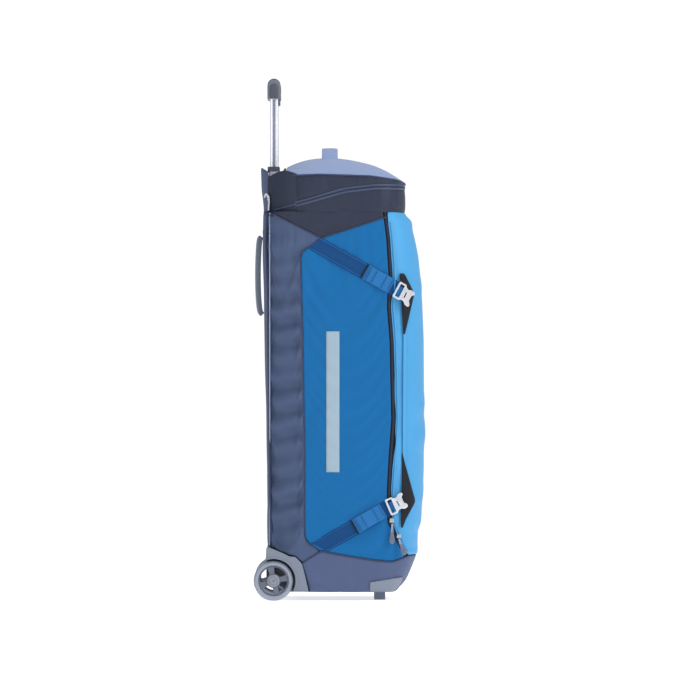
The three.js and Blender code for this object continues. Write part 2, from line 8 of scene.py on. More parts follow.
import bmesh
import bpy
import numpy as np
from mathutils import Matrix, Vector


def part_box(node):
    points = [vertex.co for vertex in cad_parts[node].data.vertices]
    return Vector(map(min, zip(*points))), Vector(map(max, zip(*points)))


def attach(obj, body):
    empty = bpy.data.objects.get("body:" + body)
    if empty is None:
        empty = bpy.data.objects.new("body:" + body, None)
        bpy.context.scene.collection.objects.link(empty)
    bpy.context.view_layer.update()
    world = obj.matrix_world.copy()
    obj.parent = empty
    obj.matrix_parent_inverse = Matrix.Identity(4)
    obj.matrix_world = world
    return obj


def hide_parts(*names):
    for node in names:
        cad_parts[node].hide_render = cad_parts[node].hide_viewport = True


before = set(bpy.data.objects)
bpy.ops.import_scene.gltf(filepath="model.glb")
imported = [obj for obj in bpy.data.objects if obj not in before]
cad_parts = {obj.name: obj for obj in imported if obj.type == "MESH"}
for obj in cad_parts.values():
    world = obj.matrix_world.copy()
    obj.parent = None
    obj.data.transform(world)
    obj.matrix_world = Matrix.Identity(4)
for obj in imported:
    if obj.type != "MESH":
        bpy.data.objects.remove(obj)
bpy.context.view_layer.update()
SCENE = bpy.context.scene
MM = 0.001
SIDES = (("left", -1), ("right", 1))

# ---- the bag's form, as in the CAD source ----
HALF_WIDTH = 190
MIDDLE_Y = -20
FRONT_POWER = 4.5
BACK_POWER = 6.5
LID_FOOT_Z = 82
BACK_SEAM_X = 152
FRONT_LINE = (
    (15, -98), (25, -110), (37, -120), (58, -129), (81, -138), (82, -140), (104, -144),
    (128, -145), (139, -151), (232, -156), (325, -156.5), (470, -156), (532, -153.6),
    (583, -150), (621, -146.5), (649, -141), (674, -135), (690, -135), (700, -116),
)
BACK_LINE = ((15, 100), (28, 116), (60, 130), (97, 131), (288, 134.5), (561, 137.5), (652, 141), (700, 139))
WIDTH_LINE = ((15, 172), (25, 182), (45, 188), (110, HALF_WIDTH), (640, HALF_WIDTH), (700, 187))
# seams seen from the side: (y, z), each sorted by the value that it is looked up with
GUTTER = (
    (-124, 82), (-112, 100), (-94, 143), (-93, 199), (-96, 255), (-101, 325),
    (-98, 470), (-93, 532), (-96, 590), (-92, 652), (-86, 700),
)
GUTTER_WIDTH = 8.5
SIDE_EDGE = ((-120, 68), (-117.5, 82), (-105.5, 100)) + tuple((y + GUTTER_WIDTH, z) for y, z in GUTTER[2:])
BASE_TOP = (
    (-400, 81), (-124, 81), (-112, 76), (-95, 70), (-64, 72.5), (-22, 79), (16, 86), (34, 90),
    (68, 68), (80.5, 80.5), (91, 81), (103, 87), (127.5, 97), (400, 97),
)
BLUE_TOP = ((-116, 703), (33, 654), (71, 629), (80, 622))
BLUE_BACK = (
    (33.5, 60), (33.5, 89), (36, 92), (50, 99), (60, 106), (64, 116),
    (64, 288), (67, 459), (71, 629), (33, 654), (33, 702),
)
WEDGE_FOOT = ((-116, 703), (33, 654), (124, 701), (400, 701))
POCKET_HALF = 187
POCKET_FRONT_Y = -117
POCKET_BACK_Y = 104
POCKET_HINGE_Y = 97.2
POCKET_ZIP = ((-400, 746), (-117, 747), (-60, 746.5), (-9, 740.5), (105, 708), (121, 704))
GUSSET_LINE = ((60, 185.5), (74, 181.2), (84, 178.2), (97, 172.5), (115, 161), (131, 145))
EDGE_LINE = ((-117, 753), (-104, 759), (-55, 766), (36, 769), (105, 766))
CROWN_LINE = (
    (-117, 753), (-100, 766), (-68, 783), (-29, 793), (3, 798), (34, 798), (65, 795), (88, 788), (104, 779),
)


def along(line, at, blur=0.0):
    """Second value of a polyline at a first value, averaged over +-blur."""
    first, second = np.array(line, float).T
    shifts = np.linspace(-blur, blur, 7) if blur else (0.0,)
    return sum(np.interp(np.asarray(at) + d, first, second) for d in shifts) / len(shifts)


def seam(line):
    """(y, z) points turned round, to look y up by z."""
    return tuple((z, y) for y, z in line)


# ---- meshes ----
def mesh(name, points, faces, material, smooth=True):
    """A new object at the origin from points in mm and faces."""
    data = bpy.data.meshes.new(name)
    data.from_pydata((np.asarray(points, float).reshape(-1, 3) * MM).tolist(), [], faces)
    data.materials.append(material)
    data.polygons.foreach_set("use_smooth", np.full(len(data.polygons), smooth))
    data.update()
    obj = bpy.data.objects.new(name, data)
    SCENE.collection.objects.link(obj)
    return obj


def grid_faces(rows, columns, wrap_rows=False, wrap_columns=False):
    """Quads of a grid of rows x columns points."""
    i = np.arange(rows if wrap_rows else rows - 1)[:, None]
    j = np.arange(columns if wrap_columns else columns - 1)[None, :]
    i1, j1 = (i + 1) % rows, (j + 1) % columns
    corners = i * columns + j, i * columns + j1, i1 * columns + j1, i1 * columns + j
    quads = np.stack(np.broadcast_arrays(*corners), -1)
    return quads.reshape(-1, 4).tolist()


def surface(name, points, material, wrap_rows=False, wrap_columns=False, flip=False, smooth=True):
    """A grid surface; points has shape (rows, columns, 3)."""
    if flip:
        points = points[:, ::-1]
    return mesh(name, points, grid_faces(*points.shape[:2], wrap_rows, wrap_columns), material, smooth)


def modifier(obj, kind, **settings):
    made = obj.modifiers.new(kind.title(), kind)
    for key, value in settings.items():
        setattr(made, key, value)
    return made


def thick(obj, mm, offset=-1.0):
    modifier(obj, "SOLIDIFY", thickness=mm * MM, offset=offset)
    return obj


def rounded(obj, mm, segments=2, angle=35):
    modifier(obj, "BEVEL", width=mm * MM, segments=segments, angle_limit=math.radians(angle))
    return obj


def finer(obj, levels=1):
    modifier(obj, "SUBSURF", levels=levels, render_levels=levels)
    return obj


def mirrored(points, side):
    """Points made for the right side, on the side asked for."""
    out = np.array(points, float)
    out[..., 0] *= side
    return out


def sweep(name, path, radius, material, sides=10, squash=1.0):
    """A round cord along a path: circles of that radius square to the path, closed by flat ends."""
    path = np.asarray(path, float)
    ahead = np.gradient(path, axis=0)
    ahead /= np.linalg.norm(ahead, axis=1)[:, None]
    across = np.cross(ahead, np.broadcast_to((0.31, 0.2, 0.93), ahead.shape))
    across /= np.linalg.norm(across, axis=1)[:, None]
    third = np.cross(ahead, across)
    turn = np.linspace(0, 2 * np.pi, sides, endpoint=False)
    cosine, sine = np.cos(turn)[None, :, None], np.sin(turn)[None, :, None]
    ring = cosine * across[:, None] + squash * sine * third[:, None]
    points = path[:, None] + radius * ring
    faces = grid_faces(len(path), sides, wrap_columns=True)
    faces += [list(range(sides))[::-1], [(len(path) - 1) * sides + k for k in range(sides)]]
    return mesh(name, points, faces, material)


def polyline(points, step=4.0, blur=0):
    """Evenly spaced points along a polyline, with its corners softened blur times."""
    points = np.asarray(points, float)
    length = np.r_[0, np.cumsum(np.linalg.norm(np.diff(points, axis=0), axis=1))]
    at = np.linspace(0, length[-1], max(3, int(length[-1] / step) + 1))
    out = np.stack([np.interp(at, length, points[:, k]) for k in range(points.shape[1])], 1)
    for _ in range(blur):
        out[1:-1] = (out[:-2] + 2 * out[1:-1] + out[2:]) / 4
    return out


def plate(name, outlines, x0, x1, material, bevel=0.6, steps=3):
    """Outlines as (y, z), the first one solid and the rest holes, made solid from x0 to x1."""
    curve = bpy.data.curves.new(name, "CURVE")
    curve.dimensions = "2D"
    curve.fill_mode = "BOTH"
    curve.extrude = (x1 - x0) / 2 * MM - bevel * MM
    curve.bevel_depth = bevel * MM
    curve.bevel_resolution = steps
    curve.offset = -bevel * MM
    for outline in outlines:
        outline = np.asarray(outline, float)
        spline = curve.splines.new("POLY")
        spline.points.add(len(outline) - 1)
        flat = np.zeros((len(outline), 4))
        flat[:, :2] = outline * MM
        spline.points.foreach_set("co", flat.ravel())
        spline.use_cyclic_u = True
    holder = bpy.data.objects.new(name, curve)
    SCENE.collection.objects.link(holder)
    bpy.context.view_layer.update()
    data = bpy.data.meshes.new_from_object(holder)
    bpy.data.objects.remove(holder)
    co = np.empty(len(data.vertices) * 3)
    data.vertices.foreach_get("co", co)
    co = co.reshape(-1, 3)[:, [2, 0, 1]]
    co[:, 0] += (x0 + x1) / 2 * MM
    data.vertices.foreach_set("co", co.ravel())
    data.materials.clear()
    data.materials.append(material)
    obj = bpy.data.objects.new(name, data)
    SCENE.collection.objects.link(obj)
    modifier(obj, "WELD", merge_threshold=0.00002)
    flat_shade(obj)
    return obj


def flat_shade(obj, angle=35):
    """Smooth shading except over edges sharper than angle."""
    obj.data.polygons.foreach_set("use_smooth", np.ones(len(obj.data.polygons), bool))
    obj.data.set_sharp_from_angle(angle=math.radians(angle))


def arc(cy, cz, r, from_deg, to_deg, count=16):
    turn = np.radians(np.linspace(from_deg, to_deg, count))
    return np.stack([cy + r * np.cos(turn), cz + r * np.sin(turn)], 1)


def wheel_turned(name, profile, side, centre, material, segments=72):
    """A closed profile of (radius, x) turned about the wheel's axis."""
    profile = np.asarray(profile, float)
    turn = np.linspace(0, 2 * np.pi, segments, endpoint=False)
    r, x = profile[:, 0][:, None], profile[:, 1][:, None] * side
    y, z = centre[1] + r * np.cos(turn), centre[2] + r * np.sin(turn)
    points = np.stack(np.broadcast_arrays(x, y, z), -1)
    obj = surface(name, points, material, wrap_rows=True, wrap_columns=True, flip=side < 0)
    flat_shade(obj, 40)
    return obj


# ---- materials ----
def linear(hex_colour):
    """sRGB hex to linear RGBA."""
    rgb = [int(hex_colour[i:i + 2], 16) / 255 for i in (0, 2, 4)]
    return tuple(c / 12.92 if c <= 0.04045 else ((c + 0.055) / 1.055) ** 2.4 for c in rgb) + (1.0,)


def node(tree, kind, settings=None, **links):
    """Adds a node, sets its inputs and links the ones given as sockets."""
    made = tree.nodes.new(kind)
    for key, value in (settings or {}).items():
        setattr(made, key, value)
    for key, value in links.items():
        socket = made.inputs[key.replace("_", " ")]
        if isinstance(value, bpy.types.NodeSocket):
            tree.links.new(value, socket)
        else:
            socket.default_value = value
    return made


def material(name, colour, rough=0.6, metal=0.0, grain_mm=1.2, grain=0.15, patch=0.06, sheen=0.0, shine=0.5):
    """Colour with slow patches, and a fine grain as a bump; both sized in mm by object coordinates."""
    made = bpy.data.materials.new(name)
    made.use_nodes = True
    tree = made.node_tree
    shader = tree.nodes["Principled BSDF"]
    place = node(tree, "ShaderNodeTexCoord").outputs["Object"]
    slow = node(tree, "ShaderNodeTexNoise", Vector=place, Scale=1000 / 90, Detail=3.0)
    shade = node(tree, "ShaderNodeMapRange", Value=slow.outputs["Fac"], To_Min=1 - patch, To_Max=1 + patch)
    tint = node(tree, "ShaderNodeVectorMath", {"operation": "SCALE"}, Scale=shade.outputs["Result"])
    tint.inputs[0].default_value = linear(colour)[:3]
    tree.links.new(tint.outputs["Vector"], shader.inputs["Base Color"])
    shader.inputs["Roughness"].default_value = rough
    shader.inputs["Metallic"].default_value = metal
    shader.inputs["Specular IOR Level"].default_value = shine
    shader.inputs["Sheen Weight"].default_value = sheen
    if grain:
        fine = node(tree, "ShaderNodeTexNoise", Vector=place, Scale=1000 / grain_mm, Detail=2.0)
        bump = node(tree, "ShaderNodeBump", Height=fine.outputs["Fac"], Strength=grain, Distance=0.3 * MM)
        tree.links.new(bump.outputs["Normal"], shader.inputs["Normal"])
    return made


NAVY = material("navy_ripstop_woven", "414f6d", 0.7, shine=0.25)
NAVY_DARK = material("navy_ripstop_folded", "1c2539", 0.6, shine=0.35)
NAVY_LIGHT = material("crown_ripstop_woven", "6f82a9", 0.7, sheen=0.15)
BASE_CLOTH = material("base_tarpaulin_coated", "455273", 0.6, shine=0.3)
BLUE = material("blue_tarpaulin_coated", "0a5c94", 0.55, grain=0.1, shine=0.15)
LID_BLUE = material("light_blue_tarpaulin_coated", "4291c4", 0.55, grain=0.1, shine=0.3)
PRINT = material("grey_screen_print", "8a9fae", 0.6, grain=0.1)
STRAP = material("blue_webbing_woven", "103f70", 0.75, grain_mm=1.6, grain=0.5, shine=0.15)
STRAP_END = material("blue_webbing_stitched", "22659f", 0.75, grain_mm=1.6, grain=0.5, shine=0.2)
PIPING = material("piping_dark", "2b3450", 0.8)
PIPING_LIGHT = material("piping_light", "8d9ab8", 0.7)
ZIP_TAPE_GUTTER_SHADE = material("zip_tape_with_painted_gutter_shade", "0d1424", 0.8)
# near-black zip tape: partly the tape's own dark colour, partly painted shade of the gutter under the lid's
# edge
POCKET_TAPE = material("pocket_zip_tape_coated", "333f5b", 0.6)
ZIP_TEETH = material("zip_teeth_moulded", "1c2740", 0.5, grain=0)
HOOK_METAL = material("hook_cast_aluminium", "ced0d6", 0.34, metal=0.7, grain_mm=0.8, grain=0.2)
TUBE_METAL = material("tube_anodised", "dcdfe6", 0.35, metal=0.45, grain=0.05, patch=0.02)
# painted reflection: a darker grey for the dark centre line that the tube's rounded side reflects
GROOVE_REFLECTION_PAINT = material("tube_groove_painted_reflection", "70748a", 0.6, grain=0)
STEEL = material("steel_plated", "b4b6ba", 0.32, metal=1.0, grain=0.05)
HOUSING = material("housing_moulded", "6e7786", 0.55, grain_mm=0.9, grain=0.2)
HOUSING_DARK = material("dark_moulded", "3f4555", 0.5, grain_mm=0.9, grain=0.2)
RIM_GREY = material("rim_moulded", "5c6372", 0.5, grain_mm=0.9, grain=0.15)
TYRE = material("tyre_polyurethane", "868e9d", 0.55, grain=0.1)
HUB = material("hub_moulded", "7d838e", 0.45, grain=0.1)
GRIP_GREY = material("grip_soft_grey", "585e6a", 0.5, grain=0.15)
GRIP_DARK = material("grip_soft_dark", "3a3f4c", 0.55, grain=0.2)
PULLER = material("puller_soft_moulded", "5d6474", 0.6, grain=0.2)
RUBBER = material("foot_rubber", "7c8594", 0.8)
# painted shade: a near-black that stands for the shadow under each strap's lap and inside each keeper's slot
GAP_SHADE_PAINT = material("painted_gap_shade", "070b16", 0.9, grain=0)


# ---- the body's outline ----
def outline(phi, z, proud=0.0):
    """Point of the plan outline in direction phi at height z, a superellipse in polar form:
    r = ((|cos|/a)^p + (|sin|/b)^p)^(-1/p), with its own p and b in front of and behind MIDDLE_Y."""
    phi, z = np.broadcast_arrays(phi, z)
    c, s = np.cos(phi), np.sin(phi)
    half = along(WIDTH_LINE, z, 6) + proud
    ahead = s < 0
    reach = np.where(ahead, MIDDLE_Y - along(FRONT_LINE, z, 5), along(BACK_LINE, z, 8) - MIDDLE_Y) + proud
    power = np.where(ahead, FRONT_POWER, BACK_POWER)
    r = ((np.abs(c) / half) ** power + (np.abs(s) / reach) ** power) ** (-1 / power)
    return np.stack([r * c, MIDDLE_Y + r * s, np.asarray(z, float)], -1)


def direction(y, z, proud=0.0):
    """Direction in which the right-hand outline has this y."""
    half = along(WIDTH_LINE, z, 6) + proud
    ahead = y < MIDDLE_Y
    reach = np.where(ahead, MIDDLE_Y - along(FRONT_LINE, z, 5), along(BACK_LINE, z, 8) - MIDDLE_Y) + proud
    power = np.where(ahead, FRONT_POWER, BACK_POWER)
    x = half * np.clip(1 - (np.abs(y - MIDDLE_Y) / reach) ** power, 1e-4, 1) ** (1 / power)
    return np.arctan2(y - MIDDLE_Y, x)


def back_direction(x, z):
    """Direction in which the outline has this x at the back."""
    half, reach = along(WIDTH_LINE, z, 6), along(BACK_LINE, z, 8) - MIDDLE_Y
    y = reach * (1 - (np.abs(x) / half) ** BACK_POWER) ** (1 / BACK_POWER)
    return np.arctan2(y, x)


LEVELS = np.linspace(15, 702, 230)


def band(start, end, columns, proud=0.0):
    """Points of the outline from direction start to end at every level, evenly spaced along it."""
    t = np.linspace(0, 1, 500)[None, :]
    dense = outline(start[:, None] + (end - start)[:, None] * t, LEVELS[:, None], proud)
    length = np.cumsum(np.linalg.norm(np.diff(dense, axis=1, prepend=dense[:, :1]), axis=2), axis=1)
    table = np.empty((len(LEVELS), columns, 3))
    for row, points in enumerate(dense):
        at = np.linspace(0, length[row, -1], columns)
        table[row] = np.stack([np.interp(at, length[row], points[:, k]) for k in range(3)], 1)
    return table


def cut(table, bottom, top, rows):
    """Each column of a band, from where it meets the seam bottom(y) up to where it meets top(y)."""
    out = np.empty((rows, table.shape[1], 3))
    for j in range(table.shape[1]):
        y = table[:, j, 1]
        low = np.interp(0.0, LEVELS - bottom(y), LEVELS)
        high = np.interp(0.0, LEVELS - top(y), LEVELS)
        z = np.linspace(low, high, rows)
        out[:, j] = np.stack([np.interp(z, LEVELS, table[:, j, 0]), np.interp(z, LEVELS, y), z], 1)
    return out


def level(z):
    return lambda y: np.full_like(y, float(z))


def on_body(points, proud):
    """(y, z) points put on the right-hand side of the body."""
    y, z = np.asarray(points, float).T
    return outline(direction(y, z, proud), z, proud)


# ---- cloth ----
def settle(obj, pressure, slack, frames=18, limit=7.0, out=0.8, gravity=1.0, bend=0.4):
    """Lets a panel held at its borders belly and crease: a cloth run, its movement capped in mm,
    and more tightly where it goes outward, where straps and seams lie."""
    data = obj.data
    count = len(data.vertices)
    used = np.zeros(count, int)
    edges = np.empty(len(data.edges) * 2, int)
    data.edges.foreach_get("vertices", edges)
    faces = np.zeros(len(data.loops), int)
    data.loops.foreach_get("edge_index", faces)
    lone = np.bincount(faces, minlength=len(data.edges)) == 1
    used[edges.reshape(-1, 2)[lone].ravel()] = 1
    group = obj.vertex_groups.new(name="held")
    group.add([int(k) for k in np.flatnonzero(used)], 1.0, "REPLACE")
    before = np.empty(count * 3)
    data.vertices.foreach_get("co", before)
    run = modifier(obj, "CLOTH")
    run.settings.quality = 6
    run.settings.mass = 0.2
    run.settings.tension_stiffness = run.settings.compression_stiffness = 12
    run.settings.shear_stiffness = 4
    run.settings.bending_stiffness = bend
    run.settings.use_pressure = True
    run.settings.uniform_pressure_force = pressure
    run.settings.shrink_min = -slack
    run.settings.effector_weights.gravity = gravity
    run.settings.vertex_group_mass = "held"
    run.collision_settings.use_collision = False
    run.point_cache.frame_end = frames
    for number in range(1, frames + 1):
        SCENE.frame_set(number)
    settled = obj.evaluated_get(bpy.context.evaluated_depsgraph_get()).to_mesh()
    after = np.empty(count * 3)
    settled.vertices.foreach_get("co", after)
    move = (after - before).reshape(-1, 3)
    size = np.linalg.norm(move, axis=1)[:, None]
    reach = limit * MM
    move *= np.tanh(size / reach) * reach / np.maximum(size, 1e-9)
    normal = np.empty(count * 3)
    data.vertex_normals.foreach_get("vector", normal)
    normal = normal.reshape(-1, 3)
    rise = (move * normal).sum(1)
    most = out * MM
    capped = np.where(rise > 0, most * np.tanh(np.maximum(rise, 0) / most), rise)
    move += normal * (capped - rise)[:, None]
    obj.modifiers.remove(run)
    obj.vertex_groups.remove(group)
    SCENE.frame_set(1)
    data.vertices.foreach_set("co", before + move.ravel())
    data.update()
    return obj


def shift(obj, moves, flip=False):
    """Moves the vertices of a grid surface by an array of its points' moves in mm."""
    if flip:
        moves = moves[:, ::-1]
    co = np.empty(len(obj.data.vertices) * 3)
    obj.data.vertices.foreach_get("co", co)
    obj.data.vertices.foreach_set("co", co + moves.ravel() * MM)
    obj.data.update()


def ripples(points, amount, wave, angle, seed, fade=0.12):
    """Soft diagonal folds: the surface moved along x by a sum of sines across the fold direction."""
    rng = np.random.default_rng(seed)
    rows, columns = points.shape[:2]
    v, u = np.meshgrid(np.linspace(0, 1, rows), np.linspace(0, 1, columns), indexing="ij")
    hold = np.clip(np.minimum.reduce([u, 1 - u, v, 1 - v]) / fade, 0, 1)
    y, z = points[..., 1], points[..., 2]
    total = np.zeros((rows, columns))
    for k in range(4):
        lean = math.radians(angle + rng.uniform(-14, 14))
        across = y * math.sin(lean) + z * math.cos(lean)
        along_fold = y * math.cos(lean) - z * math.sin(lean)
        drift = 12 * np.sin(along_fold / rng.uniform(40, 90) + rng.uniform(0, 6))
        turns = (across + drift) * 2 * np.pi / (wave * rng.uniform(0.7, 1.6))
        total += np.sin(turns + rng.uniform(0, 6)) / (k + 1.5)
    out = points.copy()
    out[..., 0] += np.sign(points[..., 0]) * amount * total * hold
    return out


# ---- panels of the body ----
def steady(z, value):
    return np.full_like(z, float(value))


def front_edge(z):
    """Direction of the side panels' front edges on the right-hand side."""
    return direction(along(seam(SIDE_EDGE), z, 6), z)


def side_piece(name, side, start, end, bottom, top, paint, size, fold, slack):
    """A sewn panel on one side of the body, between directions start and end and two seams."""
    points = mirrored(cut(band(start, end, size[1]), bottom, top, size[0]), side)
    obj = surface(name, points, paint, flip=side < 0)
    settle(obj, 0.6, slack)
    shift(obj, ripples(points, *fold) - points, side < 0)
    return finer(thick(obj, 2.4))


def body_panels():
    """Blue panel, navy band behind it and navy wedge above it, on each side, with the panel at the back."""
    made = []
    for name, side in SIDES:
        blue_back = direction(along(seam(BLUE_BACK), LEVELS, 8), LEVELS)
        corner = back_direction(BACK_SEAM_X, LEVELS)
        split = direction(steady(LEVELS, 124), LEVELS)
        foot = lambda y: along(BASE_TOP, y) + 0.8
        blue = side_piece(
            f"blue_panel_{name}", side, front_edge(LEVELS), blue_back, foot,
            lambda y: along(BLUE_TOP, y), BLUE, size=(120, 40), fold=(1.2, 110, 42, 5), slack=0.012,
        )
        navy = side_piece(
            f"navy_band_{name}", side, blue_back, corner, foot,
            lambda y: along(WEDGE_FOOT, y) - 0.4, NAVY, size=(150, 26), fold=(7.0, 56, 24, 11), slack=0.02,
        )
        wedge = side_piece(
            f"shoulder_wedge_{name}", side, front_edge(LEVELS), split,
            lambda y: along(WEDGE_FOOT, y) + 0.3, level(702), NAVY_DARK,
            size=(14, 46), fold=(0.8, 40, 30, 2), slack=0.01,
        )
        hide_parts(f"side_panel_{name}")
        made += [(blue, "blue_panel_cloth"), (navy, "navy_ripstop"), (wedge, "navy_ripstop")]
    corner = back_direction(BACK_SEAM_X, LEVELS)
    points = cut(band(corner, np.pi - corner, 50), level(99), level(700), 110)
    cover = surface("back_panel", ripples(points, 0.0, 60, 20, 4), NAVY)
    settle(cover, 0.5, 0.01, limit=1.5)
    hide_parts("back_cover")
    made.append((finer(thick(cover, 2.4)), "navy_ripstop"))
    for obj, slot in made:
        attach(obj, "bag")


def lid():
    """The front lid from gutter to gutter, with a few sagging creases and a hem at each side."""
    edge = direction(along(seam(GUTTER), LEVELS, 6), LEVELS)
    start = np.pi - edge
    end = 2 * np.pi + edge
    table = band(start, end, 84)
    points = cut(table, level(LID_FOOT_Z), level(701.5), 112)
    fold = points.copy()
    rng = np.random.default_rng(8)
    height = points[..., 2]
    for _ in range(5):
        at = rng.uniform(150, 640)
        fold[..., 1] -= 1.4 * np.exp(-((height - at - 0.12 * points[..., 0]) / rng.uniform(9, 18)) ** 2)
    obj = surface("lid_panel", fold, LID_BLUE)
    settle(obj, 0.8, 0.012, limit=4)
    finer(thick(obj, 2.6))
    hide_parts("lid")
    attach(obj, "lid")
    for name, side in SIDES:
        hem = on_body([(y - 4, z) for y, z in polyline(GUTTER, 8)[1:-2]], 0.7)
        obj = sweep(f"lid_hem_{name}", mirrored(hem, side), 1.5, LID_BLUE, squash=0.5)
        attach(obj, "lid")


def gutters():
    """The lid's zip in its gutter: a recessed tape, near-black partly as painted shade of the gutter under
    the lid's edge, and a row of small teeth on each side.
    """
    for name, side in SIDES:
        path = polyline(GUTTER, 3)
        path = path[path[:, 1] > 84]
        low = on_body(np.c_[path[:, 0] - 5, path[:, 1]], -3.2)
        high = on_body(np.c_[path[:, 0] + GUTTER_WIDTH + 5, path[:, 1]], -3.2)
        rows = mirrored(np.stack([low, high]), side)
        tape = surface(f"lid_zip_tape_{name}", rows, ZIP_TAPE_GUTTER_SHADE, flip=side > 0)
        thick(tape, 0.8)
        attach(tape, "bag")
        path = on_body(np.c_[path[:, 0] + GUTTER_WIDTH / 2, path[:, 1]], -1.8)
        teeth = tooth_row(f"lid_zip_teeth_{name}", mirrored(path, side), (0, 1, 0), 1.7)
        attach(teeth, "bag")


def tooth_row(name, path, across, half):
    """Small blocks every 2.5 mm along a path, each lying across it."""
    path = polyline(path, 2.5)
    across = np.asarray(across, float) * half
    ahead = np.gradient(path, axis=0)
    ahead /= np.linalg.norm(ahead, axis=1)[:, None]
    lift = np.cross(ahead, across)
    lift *= 0.7 / np.linalg.norm(lift, axis=1)[:, None]
    corners = np.stack([
        path + a * 0.8 * ahead + b * across + c * lift
        for a in (-1, 1) for b in (-1, 1) for c in (-1, 1)
    ], 1)
    cube = np.array([(0, 1, 3, 2), (4, 6, 7, 5), (0, 4, 5, 1), (2, 3, 7, 6), (0, 2, 6, 4), (1, 5, 7, 3)])
    faces = (cube[None] + 8 * np.arange(len(path))[:, None, None]).reshape(-1, 4)
    return outward(mesh(name, corners, faces.tolist(), ZIP_TEETH, smooth=False))


def outward(obj):
    """Faces turned outward."""
    work = bmesh.new()
    work.from_mesh(obj.data)
    bmesh.ops.recalc_face_normals(work, faces=work.faces)
    work.to_mesh(obj.data)
    work.free()
    return obj


def outward_from(obj, inside):
    """An open surface turned so that its faces look away from a point inside it."""
    data = obj.data
    centre = np.empty(len(data.polygons) * 3)
    normal = np.empty(len(data.polygons) * 3)
    data.polygons.foreach_get("center", centre)
    data.polygons.foreach_get("normal", normal)
    away = (centre.reshape(-1, 3) - np.array(inside) * MM) * normal.reshape(-1, 3)
    if away.sum() < 0:
        data.flip_normals()
    return obj


def base():
    """The coated base: its walls round the front and the back, its underside and the seam cord."""
    low_z = 15.0
    cut_low = direction(along(((17, 55.5), (48, 62.5), (67, 68.5)), LEVELS), LEVELS)
    table = band(np.pi - cut_low, 2 * np.pi + cut_low, 120)
    walls = cut(table, level(22), lambda y: along(BASE_TOP, y), 18)
    inner = back_direction(149, LEVELS)
    back = cut(band(inner, np.pi - inner, 44), level(22), level(97), 16)
    for name, points, nodes in (("base_wall", walls, ("base_tray",)), ("base_back", back, ())):
        foot = points[0]
        curl = []
        for t in (0.0, 0.35, 0.7, 1.0):
            ring = foot.copy()
            inward = t * 9
            x, y = ring[:, 0], ring[:, 1] - MIDDLE_Y
            ring[:, 0] -= np.sign(x) * inward * np.clip(np.abs(x) / 175, 0, 1) ** 6
            ring[:, 1] -= np.sign(y) * inward * np.clip(np.abs(y) / 100, 0, 1) ** 3
            ring[:, 2] = 22 - (22 - low_z) * math.sin(t * math.pi / 2)
            curl.append(ring)
        whole = np.concatenate([np.stack(curl[::-1])[:-1], points])
        obj = surface(name, whole, BASE_CLOTH)
        settle(obj, 0.3, 0.006, limit=3)
        finer(thick(obj, 2.6))
        if nodes:
            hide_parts(*nodes)
        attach(obj, "bag")
    x = np.linspace(-166, 166, 61)
    front = MIDDLE_Y - (MIDDLE_Y + 94) * (1 - (np.abs(x) / 178) ** FRONT_POWER) ** (1 / FRONT_POWER)
    rear = np.where(np.abs(x) > 148, 56, 102)
    v = np.linspace(0, 1, 20)[:, None]
    points = np.stack(np.broadcast_arrays(x, front + (rear - front) * v, low_z + 0.4), -1)
    bottom = thick(surface("base_underside", points, BASE_CLOTH, flip=True), 2)
    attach(bottom, "bag")
    for name, side in SIDES:
        path = polyline([(y, z) for y, z in BASE_TOP if -130 < y < 66] + [(68, 68)], 4, blur=2)
        obj = sweep(f"base_seam_{name}", mirrored(on_body(path, 0.4), side), 1.3, PIPING)
        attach(obj, "bag")


def crown_height(x, y):
    """edge + (crown - edge)(1 - |x/half|^2.2)."""
    edge = along(EDGE_LINE, y, 6)
    return edge + (along(CROWN_LINE, y, 14) - edge) * (1 - np.minimum(1, np.abs(x) / POCKET_HALF) ** 2.2)


def pocket_ring(phi, proud=0.0):
    """Plan outline of the end pocket in direction phi."""
    c, s = np.cos(phi), np.sin(phi)
    reach = np.where(s < 0, MIDDLE_Y - POCKET_FRONT_Y, POCKET_BACK_Y - MIDDLE_Y) + proud
    power = np.where(s < 0, FRONT_POWER, BACK_POWER)
    r = ((np.abs(c) / (POCKET_HALF + proud)) ** power + (np.abs(s) / reach) ** power) ** (-1 / power)
    return r * c, MIDDLE_Y + r * s


def pocket_wall(name, bottom, top, paint, body, sag, seed, rows=14):
    """The end pocket's upright wall between two heights that depend on y, open at the back."""
    phi = np.linspace(np.pi - 0.81, 2 * np.pi + 0.81, 700)
    x, y = pocket_ring(phi)
    x, y = x[y < POCKET_HINGE_Y], y[y < POCKET_HINGE_Y]
    flat = polyline(np.c_[x, y], 5.0)
    v = np.linspace(0, 1, rows)[:, None]
    z = bottom(flat[:, 1]) + (top(flat[:, 1], flat[:, 0]) - bottom(flat[:, 1])) * v
    points = np.stack(np.broadcast_arrays(flat[:, 0], flat[:, 1], z), -1).copy()
    rng = np.random.default_rng(seed)
    run = np.arange(len(flat)) * 5.0
    crease = sum(np.sin(run / rng.uniform(6, 15) + rng.uniform(0, 6)) for _ in range(4)) / 4
    bulge = np.sin(np.pi * v) * (sag * 0.5 + sag * 0.6 * crease)
    moves = np.zeros_like(points)
    side_share = np.clip((np.abs(flat[:, 0]) - 160) / 20, 0, 1)
    moves[..., 0] = bulge * np.sign(flat[:, 0]) * side_share
    moves[..., 1] = bulge * np.sign(flat[:, 1]) * (1 - side_share)
    obj = surface(name, points, paint)
    settle(obj, 0.4, 0.02, limit=3, out=1.0)
    shift(obj, moves)
    finer(thick(obj, 2.0))
    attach(obj, body)
    return obj


